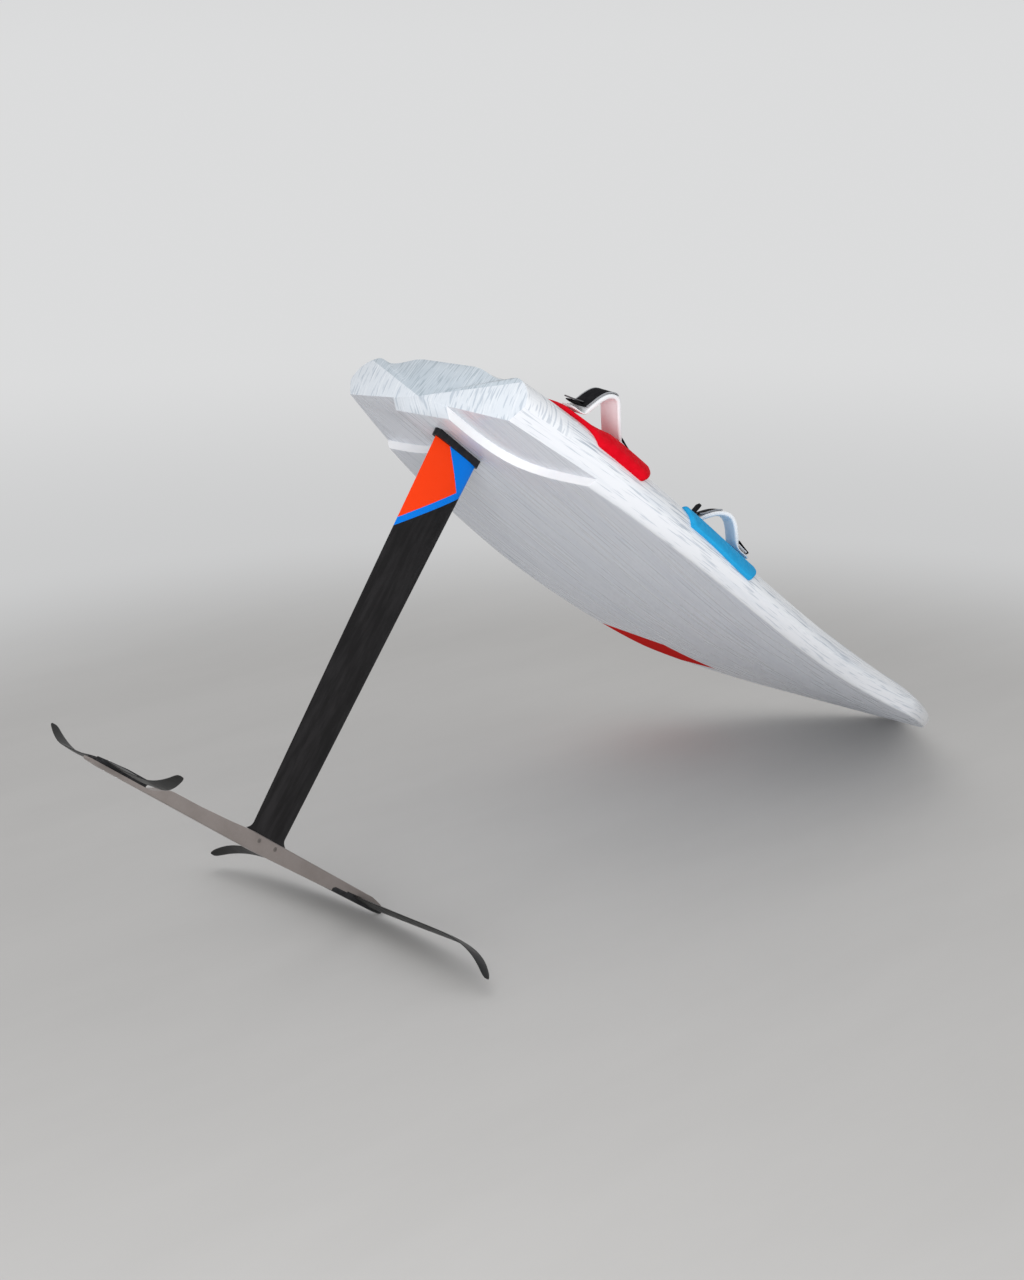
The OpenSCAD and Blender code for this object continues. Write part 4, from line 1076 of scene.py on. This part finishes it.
def build_strap(front, port):
    key = side_name(front, port)
    M = strap_frame(front)
    A, H = loop_size(front)
    last = len(PATH) - 1
    hw0 = S_BAND / 2

    def add(name, mesh, mat, angle, slot, *nodes):
        return piece(name + key, in_frame(mesh[0], M, port), mesh[1], mat, angle, slot, *nodes)

    def half_w(i):
        e = np.clip((abs(PATH[i][0]) - A - 6) / 25, 0, 1)
        return (hw0 - 0.5 - 7 * e) * (1 - 0.25 * max(0, 1 - min(i, last - i) / 4) ** 2)

    # padded sleeve
    o = add("strap_sleeve_", band_mesh(range(last + 1), half_w, lambda i: 0.0, lambda i: PATH[i][2], 0.07),
            STRAP, 60, "strap_white", "strap_" + key)

    # cover: closed over the aft half, its end standing a little proud at the foot
    limit = (-0.3 if front else -0.12) * A
    top = [i for i in range(last + 1) if PATH[i][0] < limit and PATH[i][1] > LIFT + 0.2 * H]

    def off(i):
        lip = max(0, 1 - (i - top[0]) / 9.0)
        return PATH[i][2] * 1.10 + 1.4 + (5.5 if front else 1.5) * lip ** 2

    def cover_w(i):
        return hw0 - COVER_IN - 2.5 * max(0, 1 - (top[-1] - i) / 5.0) ** 2

    add("strap_cover_", band_mesh(top, cover_w, off, lambda i: 1.35), VELCRO, 50, "cover_black", "cover_" + key)

    # grey binding along both edges of the cover
    verts, faces = [], []
    for sd in (-1, 1):
        append_tube(verts, faces, [round_ring(PATH[i][:2] + NRM[i] * off(i), NRM[i], sd * (cover_w(i) - 0.2),
                                              1.75, 2.4, 10) for i in top])
    add("strap_binding_", (verts, faces), BIND, 60, "cover_black")

    # stitches along both sewn channels, outside and inside
    verts, faces = [], []
    s = run_of(PATH[:, :2])
    for sd in (-1, 1):
        for q in np.arange(s[-1] * 0.10, s[-1] * 0.90, 5.2):
            for face_side in (1, -1):
                rings = []
                for dq, r, sink in ((-1.6, 0.25, -0.35), (0, 0.45, 0.1), (1.6, 0.25, -0.35)):
                    at = np.interp(q + dq, s, np.arange(last + 1))
                    i0 = int(at)
                    fr, i1 = at - i0, min(i0 + 1, last)
                    p = PATH[i0] * (1 - fr) + PATH[i1] * fr
                    nrm = NRM[i0] * (1 - fr) + NRM[i1] * fr
                    rings.append(round_ring(p[:2] + nrm * face_side * (p[2] * 0.80 + sink), nrm,
                                            sd * half_w(i0) * CHANNEL, r, r * 1.2, 6))
                append_tube(verts, faces, rings)
    add("strap_stitches_", (verts, faces), THREAD, 80, "strap_white")

    # loose ends at the fore foot, and a flap or a pull tab at the aft foot
    add("strap_end_", tab_mesh(A - 4, LIFT + 24, -20, 46, 25), VELCRO, 60, "cover_black")
    add("strap_under_", tab_mesh(A, LIFT + 17, -14, 36, 23), STRAP, 60, "strap_white")
    if front:
        add("strap_flap_", tab_mesh(-A - 17, LIFT + 7, 76, 36, 20), VELCRO, 60, "cover_black")
    else:
        add("strap_pull_", tab_mesh(-A + 2, LIFT + 33, 200, 58, 9), TABM, 60, "cover_black")
        add("strap_lip_", tab_mesh(-A + 1, LIFT + 22, 192, 34, 24), VELCRO, 60, "cover_black")


for fr in (False, True):
    PATH, NRM = path_of(fr)
    for pt in (False, True):
        build_strap(fr, pt)


# ---------------------------------------------------------------- CAD nodes that stay
def cad(node, mat):
    mats = NODE[node].data.materials
    mats.clear()
    mats.append(mat)


def fuselage_mat():
    m, nt, b = mat_new("anodised")
    co = obj_co(nt)
    f = noise(nt, mapped(nt, co, (1500, 1500, 1500)), 2, 0.7)
    g = noise(nt, mapped(nt, co, (16, 16, 16)), 4, 0.6)
    c = mix(nt, ramp01(nt, g, 0.3, 0.75), (0.355, 0.315, 0.300), (0.30, 0.265, 0.25))
    c = mix(nt, ramp01(nt, f, 0.5, 0.75, 0, 0.35), c, (0.42, 0.38, 0.365))
    put(nt, b, c, ramp01(nt, g, 0.3, 0.7, 0.40, 0.50), bump(nt, f, 0.15, 0.0002), Metallic=0.75)
    return m


def steel_mat():
    m, nt, b = mat_new("steel")
    co = obj_co(nt)
    g = noise(nt, mapped(nt, co, (140, 140, 140)), 3, 0.6)
    f = noise(nt, mapped(nt, co, (40, 900, 900)), 2, 0.6)
    c = mix(nt, ramp01(nt, g, 0.35, 0.7), (0.58, 0.58, 0.59), (0.44, 0.44, 0.45))
    put(nt, b, c, ramp01(nt, f, 0.3, 0.7, 0.22, 0.38), bump(nt, f, 0.08, 0.0002), Metallic=1.0)
    return m


STEEL = steel_mat()
BRASS = plain_mat("brass", (0.66, 0.47, 0.20), 0.3, 0.08, 1.0)
cad("fuselage", fuselage_mat())
cad("mast_head", dark_mat("head_skin", (0.012, 0.012, 0.014), 0.45, (80, 80, 80)))
for n in ("foot_bolt_fore", "foot_bolt_aft"):
    cad(n, plain_mat("bolt_" + n, (0.20, 0.18, 0.17), 0.45, 0.1, 0.6))
cad("foil_box", plain_mat("box_plastic", (0.055, 0.055, 0.06), 0.5, 0.2))
cad("mast_track", plain_mat("track_plastic", (0.03, 0.03, 0.033), 0.48, 0.2))
cad("tail_shim", dark_mat("shim_skin", (0.014, 0.014, 0.015), 0.5, (80, 80, 80)))
for n in NODE:
    if n.startswith(("screw_", "head_bolt", "front_wing_screw", "tail_screw")) or n in ("track_nut", "vent_plug"):
        cad(n, STEEL)
    elif n.startswith("insert_"):
        cad(n, plain_mat("insert_plastic_" + n, (0.30, 0.30, 0.31), 0.55, 0.2))
    elif n.startswith("barrel_"):
        cad(n, BRASS)
for n, o in NODE.items():
    if not o.hide_render:
        round_edges(o, 0.0004 if n != "fuselage" else 0.0008, 2, 40)

# ---------------------------------------------------------------- camera
# fitted to the photo in the board's frame: rotation vector and shift from board to camera, and the
# focal length in pixels of an image 1280 high
TURN = np.array([1.4395, -0.2313, 1.0277])
SHIFT = np.array([-0.1234, -0.4459, 4.6105])
FOCAL, HIGH, SENSOR = 2015.64, 1280, 36

angle = np.linalg.norm(TURN)
kx = TURN / angle
K = np.array([[0, -kx[2], kx[1]], [kx[2], 0, -kx[0]], [-kx[1], kx[0], 0]])
R = np.eye(3) + math.sin(angle) * K + (1 - math.cos(angle)) * K @ K
spot = -R.T @ SHIFT
pose = Matrix.Identity(4)
for i in range(3):
    pose[i][0], pose[i][1], pose[i][2], pose[i][3] = R[0][i], -R[1][i], -R[2][i], spot[i]
cam = bpy.data.objects.new("camera", bpy.data.cameras.new("camera"))
SC.collection.objects.link(cam)
cam.matrix_world = W @ pose
cam.data.sensor_width = SENSOR
cam.data.lens = SENSOR * FOCAL / HIGH
SC.camera = cam

# ---------------------------------------------------------------- floor, backdrop, light
# level directions ahead of the camera and to its right
fwd = cam.matrix_world.to_3x3() @ Vector((0, 0, -1))
fwd.z = 0
fwd.normalize()
rgt = Vector((fwd.y, -fwd.x, 0))
cp = cam.matrix_world.translation
FLOOR = (0.57, 0.563, 0.555)
FLOOR_R, FLOOR_N = 40.0, 64
PAPER = (0.99, 0.995, 1.0, 1)
FAR_GLOW, TOP_GLOW = 0.72, 0.645    # of the paper far out, and of the sky above it


def stage_mat():
    """Pale paper: the floor takes light near the board, and fades into an even glow all round."""
    m, nt, b = mat_new("paper")
    co = obj_co(nt, True)
    r = nd(nt, "ShaderNodeVectorMath", {0: co}, operation="LENGTH").outputs["Value"]
    blend = ramp01(nt, r, 1.8, 3.6)
    f = noise(nt, mapped(nt, co, (0.9, 3.5, 0.9)), 5, 0.6)
    c = mix(nt, ramp01(nt, f, 0.3, 0.7), FLOOR, tuple(v * 0.97 for v in FLOOR))
    c = mix(nt, blend, c, (0.0, 0.0, 0.0))
    put(nt, b, c, 1.0, Specular_IOR_Level=0.0)
    b.inputs["Emission Color"].default_value = PAPER
    glow = ramp01(nt, r, 2.6, 9.0, 0.60, FAR_GLOW)
    nt.links.new(times(nt, blend, glow), b.inputs["Emission Strength"])
    return m


rim_pts = [(FLOOR_R * math.cos(a), FLOOR_R * math.sin(a), 0.0)
           for a in np.linspace(0, 2 * math.pi, FLOOR_N + 1)[:-1]]
floor = mesh_obj("floor", rim_pts, [tuple(range(FLOOR_N))], [stage_mat()], scale=1.0, local=False)

world = bpy.data.worlds.new("world")
SC.world = world
world.use_nodes = True
wn = world.node_tree
bg = wn.nodes["Background"]
bg.inputs[0].default_value = (1.0, 1.0, 1.0, 1)
bg.inputs[1].default_value = 0.60
# what the camera sees past the floor
height = split(wn, nd(wn, "ShaderNodeTexCoord").outputs["Generated"])[2]
sky = nd(wn, "ShaderNodeBackground", {0: PAPER, 1: ramp01(wn, height, 0.0, 0.12, FAR_GLOW, TOP_GLOW)})
see = nd(wn, "ShaderNodeLightPath").outputs["Is Camera Ray"]
both = nd(wn, "ShaderNodeMixShader", {0: see, 1: bg.outputs[0], 2: sky.outputs[0]})
wn.links.new(both.outputs[0], wn.nodes["World Output"].inputs[0])


def area(name, loc, target, size, power):
    d = bpy.data.lights.new(name, "AREA")
    d.shape = "RECTANGLE"
    d.size, d.size_y = size
    d.energy = power
    o = bpy.data.objects.new(name, d)
    SC.collection.objects.link(o)
    o.location = loc
    o.rotation_euler = (Vector(target) - Vector(loc)).to_track_quat("-Z", "Y").to_euler()
    o.visible_camera = False


area("top_light", Vector((0.2, 0.3, 4.2)) - rgt * 0.8, (0.1, 0, 0.4), (4.2, 3.4), 24)
area("side_light", Vector((0, 0, 2.6)) + rgt * 3.4 - fwd * 1.6, (0.6, 0, 0.7), (2.6, 2.6), 12)
area("front_light", Vector((cp.x, cp.y, 1.15)) - fwd * 0.5 - rgt * 0.4, (0.2, 0, 0.45), (3.6, 2.2), 165)
